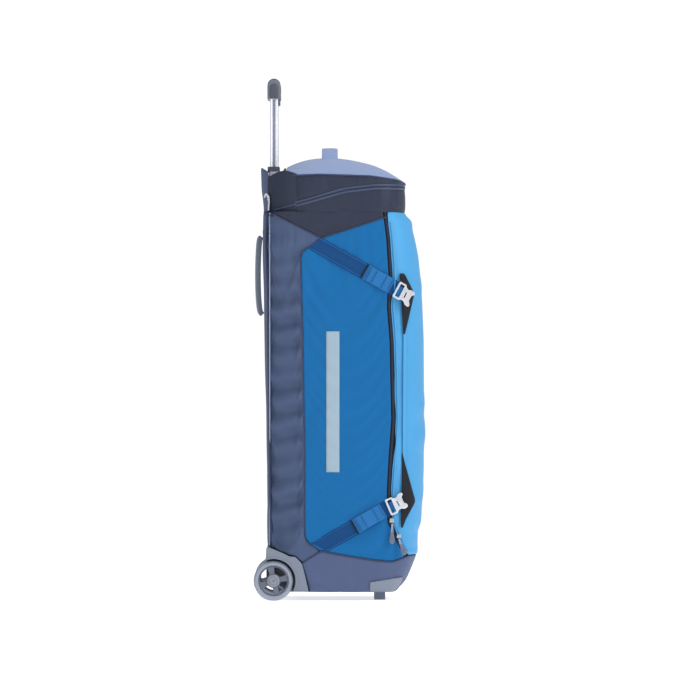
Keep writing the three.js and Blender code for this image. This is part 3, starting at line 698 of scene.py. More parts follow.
def end_pocket():
    """Collar, cap wall, domed crown, the zip that parts them and the pocket's floor."""
    zip_line = lambda y: along(POCKET_ZIP, y, 6)
    edge = lambda y, x=None: along(EDGE_LINE, y, 6)
    collar = pocket_wall(
        "collar_wall", level(700.5), lambda y, x: zip_line(y) - 4, NAVY_DARK, "bag", sag=1.4, seed=4,
    )
    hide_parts("top_collar")
    pocket_wall(
        "cap_wall", lambda y: zip_line(y) + 4.5, edge, NAVY_DARK, "pocket_cap", sag=4.2, seed=6,
    )
    u, v = np.meshgrid(np.linspace(-1, 1, 72), np.linspace(-1, 1, 42))
    depth = np.where(v < 0, MIDDLE_Y - POCKET_FRONT_Y, POCKET_HINGE_Y - MIDDLE_Y)
    px, py = u * POCKET_HALF, v * depth
    phi = np.arctan2(py, px)
    to_side = POCKET_HALF / np.maximum(np.abs(np.cos(phi)), 1e-6)
    to_end = depth / np.maximum(np.abs(np.sin(phi)), 1e-6)
    box_r = np.minimum(to_side, to_end)
    rx, ry = pocket_ring(phi)
    share = np.minimum(1, np.hypot(rx, ry - MIDDLE_Y) / box_r)
    x, y = px * share, MIDDLE_Y + py * share
    crown = surface("crown_panel", np.stack([x, y, crown_height(x, y)], -1), NAVY_LIGHT)
    settle(crown, 3.0, 0.02, limit=6, out=3.5, gravity=0.0)
    finer(thick(crown, 2.4))
    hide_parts("pocket_cap")
    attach(crown, "pocket_cap")
    ring = np.linspace(np.pi - 0.82, 2 * np.pi + 0.82, 500)
    x, y = pocket_ring(ring, 0.6)
    path = np.c_[x, y, edge(y)][y < 97]
    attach(sweep("crown_seam", polyline(path, 4), 1.5, PIPING), "pocket_cap")
    for name, lift, body in (("lower", -2.9, "bag"), ("upper", 3.1, "pocket_cap")):
        x, y = pocket_ring(ring, 0.9)
        path = polyline(np.c_[x, y, zip_line(y)][y < 97], 4)
        low, high = path.copy(), path.copy()
        low[:, 2] += lift - 2.3
        high[:, 2] += lift + 2.1
        tape = thick(surface(f"pocket_zip_tape_{name}", np.stack([low, high]), POCKET_TAPE), 1)
        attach(tape, body)
    teeth = tooth_row("pocket_zip_teeth", path + (0, 0, -0.4), (0, 0, 1), 1.2)
    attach(teeth, "bag")
    # back wall of the collar, folded forward over the pocket at its top
    x = np.linspace(-164, 164, 70)
    top = crown_height(x, np.full_like(x, 100.0))
    rows = [(103.5, 700.5), (103.8, 715), (103.8, 735)]
    points = [np.c_[x, np.full_like(x, y), np.full_like(x, z)] for y, z in rows]
    lip = (103.8, -9), (103.2, -3), (100.8, 0.2), (98, 0.8)
    points += [np.c_[x, np.full_like(x, y), top + dz] for y, dz in lip]
    wall = surface("collar_back", np.stack(points), NAVY_DARK, flip=True)
    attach(finer(thick(wall, 2)), "bag")
    for name, side in SIDES:
        phi = np.linspace(0.3, 1.2, 200)
        x, y = pocket_ring(phi)
        keep = (y > 96) & (x > 120)
        path = polyline(np.c_[x, y][keep], 3)
        v = np.linspace(0, 1, 16)[:, None]
        high = crown_height(path[:, 0], path[:, 1]) - 1
        points = np.stack(np.broadcast_arrays(path[:, 0], path[:, 1], 700.5 + (high - 700.5) * v), -1)
        obj = surface(f"collar_corner_{name}", mirrored(points, side), NAVY_DARK, flip=side < 0)
        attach(finer(thick(obj, 2)), "bag")
    u, v = np.meshgrid(np.linspace(-1, 1, 40), np.linspace(0, 1, 12))
    y = POCKET_FRONT_Y + 16 + v * (POCKET_BACK_Y - POCKET_FRONT_Y - 18)
    half = 170 * (1 - np.abs((y - MIDDLE_Y) / 150) ** 6)
    floor = surface("pocket_lining", np.stack([u * half, y, np.full_like(u, 692.6)], -1), NAVY_DARK)
    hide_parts("pocket_floor")
    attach(thick(floor, 1.2), "bag")


def trolley_well():
    """The strip that closes the top behind the end pocket, dipping between collar and back panel."""
    t = np.linspace(0, 1, 12)[:, None]
    x = np.linspace(-172, 172, 70)[None, :]
    y = 104 + 33.5 * t
    z = 701.5 - 7 * np.sin(np.pi * t) + 0 * x
    obj = surface("well_strip", np.stack(np.broadcast_arrays(x, y, z), -1), NAVY_DARK)
    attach(thick(obj, 1.5), "bag")


def well_sides():
    """Navy gussets that close the well round the trolley at each side, up to the tubes' collar."""
    t = np.linspace(0, 1, 24)[None, :]
    v = np.linspace(0, 1, 18)[:, None]
    for name, side in SIDES:
        y = 74 + 57 * t
        x = along(GUSSET_LINE, y, 5)
        top = 768 - 4 * t + 10 * np.sin(np.pi * t)
        z = 699 + (top - 699) * v
        x = x + 2.0 * np.sin(np.pi * v) * np.sin(np.pi * t)
        points = np.stack(np.broadcast_arrays(x, y + 0 * z, z), -1)
        obj = surface(f"well_gusset_{name}", mirrored(points, side), NAVY_DARK)
        outward_from(obj, (0, 100, 730))
        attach(finer(thick(obj, 1.2)), "bag")
        run = np.arange(78.0, 123.0, 3.0)
        ends = np.c_[along(GUSSET_LINE, run, 5) + 1.4, run, along(POCKET_ZIP, run, 6)]
        obj = sweep(f"pocket_zip_end_{name}", mirrored(ends, side), 1.5, POCKET_TAPE)
        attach(obj, "bag")


def lay(obj, ground, side, proud):
    """Moves each vertex along x so that it lies proud mm off the surface of another piece."""
    base = ground.evaluated_get(bpy.context.evaluated_depsgraph_get())
    for vertex in obj.data.vertices:
        hit, place, _, _ = base.ray_cast((side * 0.4, vertex.co.y, vertex.co.z), (-side, 0, 0))
        if hit:
            vertex.co.x = place.x + side * proud * MM


def print_panel():
    """A plain grey stripe on each side panel, where a maker's print would be."""
    for name, side in SIDES:
        y = np.linspace(0, 24, 7)[None, :]
        z = np.linspace(232, 486, 60)[:, None]
        flat = np.stack(np.broadcast_arrays(1 + y, z), -1).reshape(-1, 2)
        obj = surface(f"print_stripe_{name}", mirrored(on_body(flat, 0.9).reshape(60, 7, 3), side), PRINT)
        lay(obj, bpy.data.objects[f"blue_panel_{name}"], side, 0.4)
        outward_from(obj, (0, 0, 360))
        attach(thick(obj, 0.3, 1.0), "bag")


def piping():
    """Cords along the back edges, and stitched seams over each side."""
    for name, side in SIDES:
        z = np.linspace(99, 700, 110)
        edge = outline(back_direction(BACK_SEAM_X + 4, z), z, 0.6)
        obj = sweep(f"edge_piping_{name}", mirrored(edge, side), 2.2, PIPING)
        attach(obj, "bag")
        edge = outline(direction(steady(z, 126.5), z), z, 0.4)
        obj = sweep(f"edge_seam_{name}", mirrored(edge, side), 1.1, PIPING_LIGHT)
        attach(obj, "bag")
        seams = {
            "diagonal": ([(124, 699), (33, 654)], PIPING),
            "back_of_blue": ([(y, z) for y, z in BLUE_BACK if 70 < z < 640], PIPING),
            "top_of_blue": ([(-84, 692), (33, 654), (70, 630)], PIPING),
        }
        for label, (points, paint) in seams.items():
            path = on_body(polyline(points, 5, blur=1), 0.5)
            obj = sweep(f"{label}_seam_{name}", mirrored(path, side), 0.9, paint)
            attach(obj, "bag")


# ---- straps and hooks ----
def strap_band(name, side, centre, half, proud, paint, body="bag", thickness=2.0, slant=0.0):
    """Flat webbing laid on the body along a centre line in the side view, its root cut on a slant."""
    path = polyline(centre, 4)
    ahead = np.gradient(path, axis=0)
    ahead /= np.linalg.norm(ahead, axis=1)[:, None]
    across = np.c_[-ahead[:, 1], ahead[:, 0]]
    rows = []
    for t in np.linspace(-1, 1, 9):
        flat = path + across * half * t
        flat += ahead * (slant * t * np.linspace(1, 0, len(path)) ** 4)[:, None]
        rows.append(on_body(flat, proud + 0.35 * (1 - t * t)))
    points = np.stack(rows)
    obj = surface(name, mirrored(points, side), paint, flip=side > 0)
    thick(obj, thickness, offset=1.0)
    rounded(obj, 0.5)
    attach(obj, body)
    return obj


STRAP_LINES = {
    "upper": ([(46.5, 645.4), (-100, 562.9)], 14.5, 62, -7.3),
    "lower": ([(37.5, 96.6), (-85, 166.9)], 14.5, 66, 9.7),
}


def straps():
    for name, side in SIDES:
        for place, (centre, half, lap, slant) in STRAP_LINES.items():
            (y0, z0), (y1, z1) = centre
            length = math.hypot(y1 - y0, z1 - z0)
            unit = np.array([(y1 - y0) / length, (z1 - z0) / length])
            tuck = [np.array(centre[1]) - unit * lap, np.array(centre[1]) - unit * 8]
            obj = strap_band(f"strap_{place}_{name}", side, centre, half, 0.9, STRAP, slant=slant)
            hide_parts(f"compression_strap_{place}_{name}")
            strap_band(f"strap_tuck_{place}_{name}", side, tuck, half - 0.6, 3.3, STRAP_END, thickness=1.8)
            across = np.array([-unit[1], unit[0]])
            for k, at in enumerate((-1, 1)):
                ends = centre[0], centre[1] - unit * lap
                edge = [np.array(end) + at * 11.6 * across for end in ends]
                line = mirrored(on_body(polyline(edge, 4), 3.0), side)
                obj = sweep(f"edge_stitch_{place}_{name}_{k}", line, 0.4, STRAP_END, sides=6)
                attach(obj, "bag")
            # painted shadow: a near-black cord where the tuck's raised end lifts off the strap
            middle = np.array(centre[1]) - unit * (lap + 1.6)
            line = on_body(polyline([middle + across * t for t in (-half, half)], 3), 3.2)
            obj = sweep(f"lap_shadow_{place}_{name}", mirrored(line, side), 1.5, GAP_SHADE_PAINT)
            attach(obj, "bag")
            for k, at in enumerate((3 - lap, 7 - lap, 18 - lap, -24, -11)):
                middle = np.array(centre[1]) + unit * at
                line = on_body(polyline([middle - across * 12.5, middle + across * 12.5], 3), 5.2)
                obj = sweep(f"stitch_{place}_{name}_{k}", mirrored(line, side), 0.4, STRAP, sides=6)
                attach(obj, "bag")


HOOK_BARS = {"upper": ((-94, 549), (-108.5, 576)), "lower": ((-93, 152), (-79.5, 183.5))}
# (along the bar from its middle, away from the strap); the nose is skewed towards the bag's middle
HOOK_PLATE = (
    (-15.5, 0), (15.5, 0), (15.5, 13.5), (11.5, 16), (11, 22), (14.5, 25), (15.5, 32.5), (11, 35),
    (8, 30.5),
    (-4, 30), (-7, 34.5), (-13, 35), (-14.5, 27), (-11, 22), (-11.5, 16), (-15.5, 13.5),
)
HOOK_SLOT = ((-12, 3.4), (12, 3.4), (12, 11.6), (-12, 11.6))
HOOK_SLIT = ((-5, 19), (5, 18.5), (5.5, 20.5), (-5, 21.5))
HOOK_SKEW = 0.26


def rounded_outline(corners, radius, count=5):
    """A polygon with each corner replaced by a quadratic curve that starts radius before it."""
    corners = np.asarray(corners, float)
    out = []
    for k, corner in enumerate(corners):
        before, after = corners[k - 1], corners[(k + 1) % len(corners)]
        r0 = min(radius, 0.45 * np.linalg.norm(before - corner))
        r1 = min(radius, 0.45 * np.linalg.norm(after - corner))
        p0 = corner + (before - corner) / np.linalg.norm(before - corner) * r0
        p1 = corner + (after - corner) / np.linalg.norm(after - corner) * r1
        for t in np.linspace(0, 1, count):
            out.append((1 - t) ** 2 * p0 + 2 * t * (1 - t) * corner + t * t * p1)
    return np.array(out)


def hooks():
    """Cast hooks: a frame round the webbing's slot, and a waisted plate with two prongs at its nose."""
    for place, (a, b) in HOOK_BARS.items():
        a, b = np.array(a), np.array(b)
        middle = (a + b) / 2
        bar = (b - a) / np.linalg.norm(b - a)
        lift = -1 if place == "upper" else 1
        away = np.array([-abs(bar[1]), lift * abs(bar[0])])
        skew = -HOOK_SKEW if place == "upper" else HOOK_SKEW * 0.2

        def laid(points):
            points = np.array(points)
            shifted = points[:, 0] + skew * np.maximum(0, points[:, 1] - 12)
            return middle + np.outer(shifted, bar) + np.outer(points[:, 1], away)

        for name, side in SIDES:
            low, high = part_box(f"hook_buckle_{place}_{name}")
            x_in = min(abs(low.x), abs(high.x)) / MM
            x_out = max(abs(low.x), abs(high.x)) / MM
            outlines = [
                rounded_outline(laid(line), radius)
                for line, radius in ((HOOK_PLATE, 3), (HOOK_SLOT, 1.6), (HOOK_SLIT, 0.9))
            ]
            obj = plate(f"hook_{place}_{name}", outlines, x_in + 0.9, x_out - 0.2, HOOK_METAL, bevel=0.9)
            if side < 0:
                flip_x(obj)
            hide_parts(f"hook_buckle_{place}_{name}")
            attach(obj, f"hook_{place}_{name}")
            rows = [laid([(s, t) for s in np.linspace(-8.6, 8.6, 8)]) for t in np.linspace(-1.5, 12.6, 10)]
            lift = x_in + 1.0 + 2.9 * np.exp(-((np.linspace(-1.5, 12.6, 10) - 0.5) / 2.4) ** 2)
            points = np.stack([np.c_[np.full(8, h), row] for h, row in zip(lift, rows)])
            loop = surface(f"hook_webbing_{place}_{name}", mirrored(points, side), STRAP_END)
            outward_from(loop, (0, -100, 350))
            thick(loop, 1.2)
            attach(loop, f"hook_{place}_{name}")


def flip_x(obj):
    """Mirrors an object's mesh in X and keeps its faces outward."""
    co = np.empty(len(obj.data.vertices) * 3)
    obj.data.vertices.foreach_get("co", co)
    co[::3] *= -1
    obj.data.vertices.foreach_set("co", co)
    obj.data.flip_normals()


KEEPER_GAPS = {
    "upper": [(-107, 583), (-115, 592), (-134, 554.5), (-117, 481)],
    "lower": [(-112, 268), (-118, 244), (-136, 179), (-118, 146), (-113, 132)],
}


def keepers():
    """Gussets on the lid that the hooks catch: a folded strip, and at each hook a near-black sheet painted as
    the shade of the pocket under it.
    """
    for name, side in SIDES:
        strip = strap_band(
            f"keeper_strip_{name}", side, [(-113.5, 575), (-117.5, 480), (-116, 270), (-114, 155)],
            3.0, 0.6, LID_BLUE, "lid", 1.2,
        )
        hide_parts(f"hook_keeper_{name}")
        for place, corners in KEEPER_GAPS.items():
            path = np.array(corners, float)
            spine = polyline(path, 3, blur=2)
            y, z = spine.T
            inner = np.interp(z, (132, 268, 481, 592), (-110, -112, -114, -108))
            rows = [np.c_[y + (inner - y) * t, z] for t in np.linspace(0, 1, 7)]
            points = np.stack([on_body(row, 0.75) for row in rows])
            # painted shade: a near-black sheet for the dark pocket under the strip
            obj = surface(f"keeper_slot_shade_{place}_{name}", mirrored(points, side), GAP_SHADE_PAINT, flip=side < 0)
            thick(obj, 0.8, 1.0)
            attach(obj, "lid")


# ---- wheels, housings, bumpers ----
def wheels():
    for name, side in SIDES:
        low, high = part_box(f"tyre_{name}")
        centre = np.array((low + high) / 2) / MM
        r = (high.z - low.z) / 2 / MM
        x0, x1 = sorted(abs(v) / MM for v in (low.x, high.x))
        tyre = [
            (r - 8.6, x0 + 2), (r - 6.5, x0), (r - 4, x0 + 0.2), (r - 1.2, x0 + 3),
            (r, x0 + 8), (r, x1 - 8), (r - 1.2, x1 - 3), (r - 4, x1 - 0.2),
            (r - 6.5, x1), (r - 8.6, x1 - 2), (r - 8.9, x1 - 6), (r - 8.9, x0 + 6),
        ]
        body = f"wheel_{name}"
        obj = wheel_turned(f"tyre_tread_{name}", tyre, side, centre, TYRE)
        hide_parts(f"tyre_{name}")
        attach(obj, body)
        rim_r, cy, cz = r - 8.95, centre[1], centre[2]
        outer = arc(cy, cz, rim_r, 0, 354, 60)
        windows = []
        spokes = (79, 168, 256, 337)
        for k, spoke in enumerate(spokes):
            after = spokes[(k + 1) % 4] + (360 if k == 3 else 0)
            out = arc(cy, cz, rim_r - 2.6, spoke + 8, after - 8, 14)
            back = arc(cy, cz, 13.0, after - 15, spoke + 15, 12)
            windows.append(rounded_outline(np.r_[out[1:-1], back[1:-1]], 2.4, 4))
        bore = arc(cy, cz, 7.6, 0, 345, 24)
        low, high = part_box(f"wheel_rim_{name}")
        rx0, rx1 = sorted(abs(v) / MM for v in (low.x, high.x))
        obj = plate(f"rim_spokes_{name}", [outer, bore] + windows, rx0 + 6, rx1 - 1.2, RIM_GREY, bevel=0.9)
        if side < 0:
            flip_x(obj)
        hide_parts(f"wheel_rim_{name}")
        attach(obj, body)
        boss = [
            (7.7, rx0), (12.4, rx0), (12.4, rx1 - 1), (11.6, rx1 - 0.2),
            (10.2, rx1 - 0.2), (9.6, rx1 - 1.6), (7.7, rx1 - 1.6),
        ]
        obj = wheel_turned(f"rim_boss_{name}", boss, side, centre, RIM_GREY, 48)
        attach(obj, body)
        low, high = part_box(f"hub_cap_{name}")
        c0, c1 = sorted(abs(v) / MM for v in (low.x, high.x))
        cap = [
            (0.01, c0 + 3.2), (9.2, c0 + 3.2), (9.2, c0), (11, c0),
            (11, c1 - 2.2), (9.4, c1 - 1), (8.2, c1 - 0.6), (7.6, c1 - 1.4),
            (6.6, c1 - 1.4), (6.0, c1 - 0.2), (2.8, c1), (2.2, c1 - 1.6), (0.01, c1 - 1.6),
        ]
        obj = wheel_turned(f"hub_disc_{name}", cap, side, centre, HUB, 56)
        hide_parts(f"hub_cap_{name}")
        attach(obj, body)


HOUSING_FRONT = [
    (133, 96), (127.5, 96), (103, 86), (91, 80), (80.5, 79.5), (68.5, 67), (63.5, 48), (56.5, 17),
]


def housings():
    """Wheel housings: a shaped outer cheek with the arch, a lip round it, and a dark inner wall."""
    for name, side in SIDES:
        low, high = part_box(f"wheel_housing_{name}")
        x0, x1 = sorted(abs(v) / MM for v in (low.x, high.x))
        tyre_low, tyre_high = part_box(f"tyre_{name}")
        cy, cz = (tyre_low.y + tyre_high.y) / 2 / MM, (tyre_low.z + tyre_high.z) / 2 / MM
        arch = arc(cy, cz, 39.5, 69.5, 209, 40)
        cheek = HOUSING_FRONT + [(tuple(p)) for p in arch[::-1]]
        cheek = rounded_outline(cheek, 2.2, 3)
        obj = plate(f"housing_cheek_{name}", [cheek], 162.2, x1 - 0.6, HOUSING, bevel=1.8, steps=4)
        wall_line = HOUSING_FRONT + [(90, 17), (101, 25), (114, 28), (128, 28), (133, 36)]
        outlines = [rounded_outline(wall_line, 2, 3)]
        wall = plate(f"housing_wall_{name}", outlines, x0, 161.8, HOUSING_DARK, bevel=0.8)
        lip = arc(cy, cz, 41.2, 70, 205, 60)
        path = np.c_[np.full(len(lip), x1 - 0.9), lip]
        rib = sweep(f"housing_lip_{name}", mirrored(path, side), 1.7, HOUSING)
        if side < 0:
            flip_x(obj)
            flip_x(wall)
        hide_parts(f"wheel_housing_{name}")
        for piece in (obj, wall, rib):
            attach(piece, "bag")


def bumpers():
    """Moulded guards wrapped round the base's front corners."""
    for name, side in SIDES:
        start = np.full_like(LEVELS, math.atan2(-76, 127))
        table = band(start, direction(steady(LEVELS, -54), LEVELS), 40, proud=0.6)
        top = lambda y: np.interp(y, (-140, -113, -62, -50), (46, 43.5, 35, 33))
        points = cut(table, level(17.5), top, 12)
        obj = surface(f"bumper_{name}", mirrored(points, side), HOUSING, flip=side < 0)
        thick(obj, 2.4, 1.0)
        rounded(obj, 1.0, 3)
        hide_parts(f"front_bumper_{name}")
        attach(obj, "bag")


# ---- trolley and grip ----
def tube_profile(w, d, corner=3.0, groove=2.2, depth=0.9):
    """Rounded rectangle with a shallow groove down the middle of each side face."""
    points = []
    for cx, cy, start in ((1, 1, 0), (-1, 1, 90), (-1, -1, 180), (1, -1, 270)):
        if start == 0:
            points += [(w / 2 - depth, groove), (w / 2, groove + 0.6)]
        if start == 180:
            points += [(-w / 2 + depth, -groove), (-w / 2, -groove - 0.6)]
        turn = np.radians(np.linspace(start, start + 90, 5))
        x = cx * (w / 2 - corner) + corner * np.cos(turn)
        y = cy * (d / 2 - corner) + corner * np.sin(turn)
        points += list(zip(x, y))
        if start == 90:
            points += [(-w / 2, groove + 0.6), (-w / 2 + depth, groove)]
        if start == 270:
            points += [(w / 2, -groove - 0.6), (w / 2 - depth, -groove)]
    return np.array(points, float)


def upright(name, profile, x, y, z0, z1, paint):
    ring = np.c_[profile[:, 0] + x, profile[:, 1] + y]
    points = np.stack([np.c_[ring, np.full(len(ring), z)] for z in (z0, z1)])
    faces = grid_faces(2, len(ring), wrap_columns=True)
    faces += [list(range(len(ring)))[::-1], [len(ring) + k for k in range(len(ring))]]
    obj = mesh(name, points, faces, paint)
    flat_shade(obj, 40)
    return obj


def trolley():
    for name, _ in SIDES:
        low, high = np.array(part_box(f"inner_tube_{name}")) / MM
        x, y = (low + high)[:2] / 2
        w, d = (high - low)[:2]
        obj = upright(f"trolley_tube_{name}", tube_profile(w, d), x, y, low[2], high[2], TUBE_METAL)
        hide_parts(f"inner_tube_{name}")
        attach(obj, "trolley_handle")
        # the groove is shaped in the profile; the darker strip laid in it is a painted reflection down the
        # tube's side
        for face in (-1, 1):
            groove = np.array([(-0.25, -1.9), (0.25, -1.9), (0.25, 1.9), (-0.25, 1.9)])
            gx = x + face * (w / 2 - 0.75)
            label = f"tube_groove_{name}_{'in' if face > 0 else 'out'}"
            strip = upright(label, groove, gx, y, low[2] + 1, high[2] - 1, GROOVE_REFLECTION_PAINT)
            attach(strip, "trolley_handle")


def arch_section(y, r, z0, top):
    """Upright sides under a half-round top, as (y, z)."""
    turn = np.linspace(0, np.pi, 21)
    side = [(y + r, z0), (y + r, (z0 + top - r) / 2)]
    dome = [(y + r * math.cos(t), top - r + r * math.sin(t)) for t in turn]
    return np.array(side + dome + [(y - r, (z0 + top - r) / 2), (y - r, z0)])


def grip():
    """Grip: a two-tone arch-section bar with rounded ends, its dark core, and the trigger below."""
    low, high = np.array(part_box("grip_shell")) / MM
    y = (low[1] + high[1]) / 2
    r = (high[1] - low[1]) / 2
    half = high[0]
    z0, top = low[2], high[2]
    core_low, core_high = np.array(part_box("grip_core")) / MM
    core_r = (core_high[1] - core_low[1]) / 2

    def bar(name, radius, bottom, crest, reach, paint, end=3.0):
        rings = []
        steps = [(-reach, end), (-reach + 0.6, end * 0.45), (-reach + 2, 0.5), (-reach + 4, 0), (0, 0)]
        steps += [(-x, inset) for x, inset in steps[-2::-1]]
        for x, inset in steps:
            section = arch_section(y, radius - inset, bottom + inset * 0.4, crest - inset)
            rings.append(np.c_[np.full(len(section), x), section])
        points = np.stack(rings)
        faces = grid_faces(len(rings), points.shape[1], wrap_columns=True)
        n = points.shape[1]
        faces += [list(range(n)), [(len(rings) - 1) * n + k for k in range(n)][::-1]]
        obj = mesh(name, points, faces, paint)
        outward(obj)
        flat_shade(obj, 45)
        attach(obj, "trolley_handle")
        return obj

    shell = bar("grip_body", r, z0, top - 1.5, half, GRIP_GREY, 2.0)
    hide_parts("grip_shell")
    core = bar("grip_end_core", core_r, z0 + 0.4, core_high[2], core_high[0] + 0.4, GRIP_DARK, 1.2)
    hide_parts("grip_core")
    turn = np.linspace(np.radians(18), np.radians(162), 24)
    x = np.r_[-half + 2.5, np.linspace(-half + 4, half - 4, 9), half - 2.5]
    pinch = np.r_[0.4, np.ones(9), 0.4]
    crest = top - 1.5 - r
    pad = np.stack([
        np.c_[np.full(24, xi), y + (r + 0.2) * np.cos(turn), crest + (r + 1.3 * p) * np.sin(turn)]
        for xi, p in zip(x, pinch)
    ])
    over = outward_from(surface("grip_top_pad", pad, GRIP_DARK), (0, y, crest - 20))
    thick(over, 1.4)
    rounded(over, 0.5)
    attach(over, "trolley_handle")
    low, high = np.array(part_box("release_trigger")) / MM
    y0, z0, y1, z1 = low[1], low[2], high[1], high[2]
    line = rounded_outline([(y0, z0), (y1, z0), (y1, z1), (y0, z1)], 1.6)
    obj = plate("trigger_bar", [line], low[0], high[0], GRIP_GREY, bevel=0.8)
    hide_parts("release_trigger")
    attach(obj, "trigger")


# ---- handles ----
def top_handle():
    """Flat webbing loop across the crown, padded in the middle, with a flat patch at each end."""
    low, high = np.array(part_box("top_handle")) / MM
    half = high[0] - 2
    y0, y1 = low[1], high[1]
    middle = (y0 + y1) / 2
    t = np.linspace(-1, 1, 61)
    foot, top = low[2] - 6.0, high[2] - 1.5
    z = foot + (top - foot) * (1 - np.abs(t) ** 3.2)
    x = half * t
    width = (y1 - y0) / 2 * (0.9 + 0.1 * np.clip((1 - np.abs(t)) * 7, 0, 1))
    v = np.linspace(-1, 1, 11)[:, None]
    points = np.stack(np.broadcast_arrays(x, middle + width * v, z + 0.8 * (1 - v * v)), -1)
    obj = surface("top_handle_webbing", points, NAVY_LIGHT)
    thick(obj, 2.6)
    rounded(obj, 0.6)
    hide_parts("top_handle")
    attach(obj, "top_handle")
    for k, x_mid in enumerate((-half - 7, half + 7)):
        pad_x = x_mid + np.linspace(-14, 14, 12)
        pad_y = np.linspace(y0 + 1, y1 - 1, 10)[:, None]
        grid_x, grid_y = np.broadcast_arrays(pad_x, pad_y)
        height = crown_height(grid_x, grid_y) + 1.2
        pad = surface(f"top_handle_patch_{k}", np.stack([grid_x, grid_y, height], -1), NAVY_LIGHT)
        thick(pad, 1.6, 1.0)
        rounded(pad, 0.4)
        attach(pad, "pocket_cap")


def back_handle():
    low, high = np.array(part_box("back_handle")) / MM
    t = np.linspace(0, 1, 40)
    z = low[2] + (high[2] - low[2]) * t
    lift = np.sin(np.pi * t) ** 0.35
    y = 139.5 + (high[1] - 3 - 139.5) * lift + 1.5 * t * (1 - lift)
    half = 9 + 7 * np.sin(np.pi * t) ** 0.5
    v = np.linspace(-1, 1, 11)[:, None]
    points = np.stack(np.broadcast_arrays(half * v, y - 1.5 + 1.6 * (1 - v * v), z), -1)
    obj = surface("back_handle_moulding", points, HOUSING)
    thick(obj, 9.0, 0.8)
    rounded(obj, 1.0, 3)
    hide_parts("back_handle")
    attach(obj, "bag")


def harness():
    """Stowed harness: two padded straps folded in a flat bundle, the leaf over it and two steel hooks."""
    low, high = np.array(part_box("shoulder_harness")) / MM
    u = np.linspace(0, 2 * np.pi, 28, endpoint=False)
    z = np.linspace(low[2], high[2], 40)[:, None]
    for k, centre in enumerate((-37, 37)):
        squeeze = 1 - 0.12 * np.cos((z - low[2]) / 60) ** 2
        c, s = np.cos(u), np.sin(u)
        x = centre + 30 * squeeze * np.sign(c) * np.abs(c) ** 0.5
        y = (low[1] + high[1]) / 2 + 7.2 * squeeze * np.sign(s) * np.abs(s) ** 0.5
        points = np.stack(np.broadcast_arrays(x, y, z), -1)
        obj = surface(f"harness_strap_{k}", points, NAVY, wrap_columns=True)
        if k == 0:
            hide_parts("shoulder_harness")
        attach(finer(obj), "bag")
    t = np.linspace(0, 1, 24)[:, None]
    x = np.linspace(-146, 146, 56)[None, :]
    z = 664 + 119 * t - 8 * (x / 146) ** 4 * t
    y = 141.5 - 4 * np.sin(np.pi * np.clip(t * 1.5, 0, 1)) + 1.6 * t ** 3
    y = y + 0.7 * np.sin(x / 17) * t - 11 * (np.abs(x) / 146) ** 5
    flap = surface("harness_leaf", np.stack(np.broadcast_arrays(x, y, z), -1), NAVY, flip=True)
    settle(flap, 0.2, 0.01, limit=3)
    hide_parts("harness_flap")
    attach(finer(thick(flap, 3.4)), "bag")
    for name, side in SIDES:
        low, high = np.array(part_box(f"harness_hook_{name}")) / MM
        x = side * 152
        path = [(x, 129, 703), (x, 128, 722), (x, 131, 733), (x, 135, 734), (x, 136, 727)]
        obj = sweep(f"hook_wire_{name}", polyline(path, 1.5, blur=4), 2.3, STEEL)
        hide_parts(f"harness_hook_{name}")
        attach(obj, "bag")


# ---- zip sliders and pullers ----
def puller(name, node_name, body, cord_top, lean, drop, paint=PULLER):
    """Twin cord from the slider down to a waisted moulded tab with two grip grooves."""
    low, high = np.array(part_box(node_name)) / MM
    x = (low[0] + high[0]) / 2
    thickness = high[0] - low[0]
    tab = 22.0
    a = math.radians(lean)

    def place(points):
        points = np.asarray(points, float)
        y, z = points[:, 0], points[:, 1]
        c, s = math.cos(a), math.sin(a)
        return np.c_[cord_top[0] + y * c - z * s, cord_top[1] + y * s + z * c]

    half = [(2.6, tab), (3.2, tab - 5), (4.8, 9), (4.4, 3)]
    waist = [(y, z - drop) for y, z in half + [(0, 0)] + [(-y, z) for y, z in half[::-1]]]
    waist = waist[-1:] + waist[:-1]
    line = place(rounded_outline(waist, 2.0))
    obj = plate(f"{name}_tab", [line], x - thickness / 2, x + thickness / 2, paint, bevel=0.7)
    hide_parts(node_name)
    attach(obj, body)
    for k, spread in enumerate((-1.6, 1.6)):
        ends = place([(0.2 * spread, 0), (spread, -drop + tab - 2)])
        path = np.c_[np.full(6, x), np.linspace(ends[0], ends[1], 6)]
        cord = sweep(f"{name}_cord_{k}", path, 0.9, PIPING_LIGHT, sides=8)
        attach(cord, body)
    for k, at in enumerate((7, 10, 13)):
        ends = place([(-3, -drop + at), (3, -drop + at)])
        out = x + math.copysign(thickness / 2, x)
        line = np.c_[np.full(5, out), np.linspace(ends[0], ends[1], 5)]
        ridge = sweep(f"{name}_ridge_{k}", line, 0.5, paint, sides=6)
        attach(ridge, body)


def zip_parts():
    puller("rear_pull", "lid_zip_puller_rear", "rear_puller", (-94, 139.4), 0, 37.5)
    puller("front_pull", "lid_zip_puller_front", "front_puller", (-106, 111.4), -22, 32)
    puller("pocket_pull", "pocket_zip_puller", "pocket_puller", (-9, 736.4), 0, 32)
    sliders = {
        "lid_zip_slider_rear": "bag",
        "lid_zip_slider_front": "bag",
        "pocket_zip_slider": "pocket_slider",
    }
    for node_name, body in sliders.items():
        low, high = np.array(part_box(node_name)) / MM
        y0, z0, y1, z1 = low[1], low[2], high[1], high[2]
        line = rounded_outline([(y0, z0), (y1, z0), (y1 - 1, z1), (y0 + 1, z1)], 1.5)
        obj = plate(f"{node_name}_body", [line], low[0], high[0], STEEL, bevel=0.6)
        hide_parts(node_name)
        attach(obj, body)


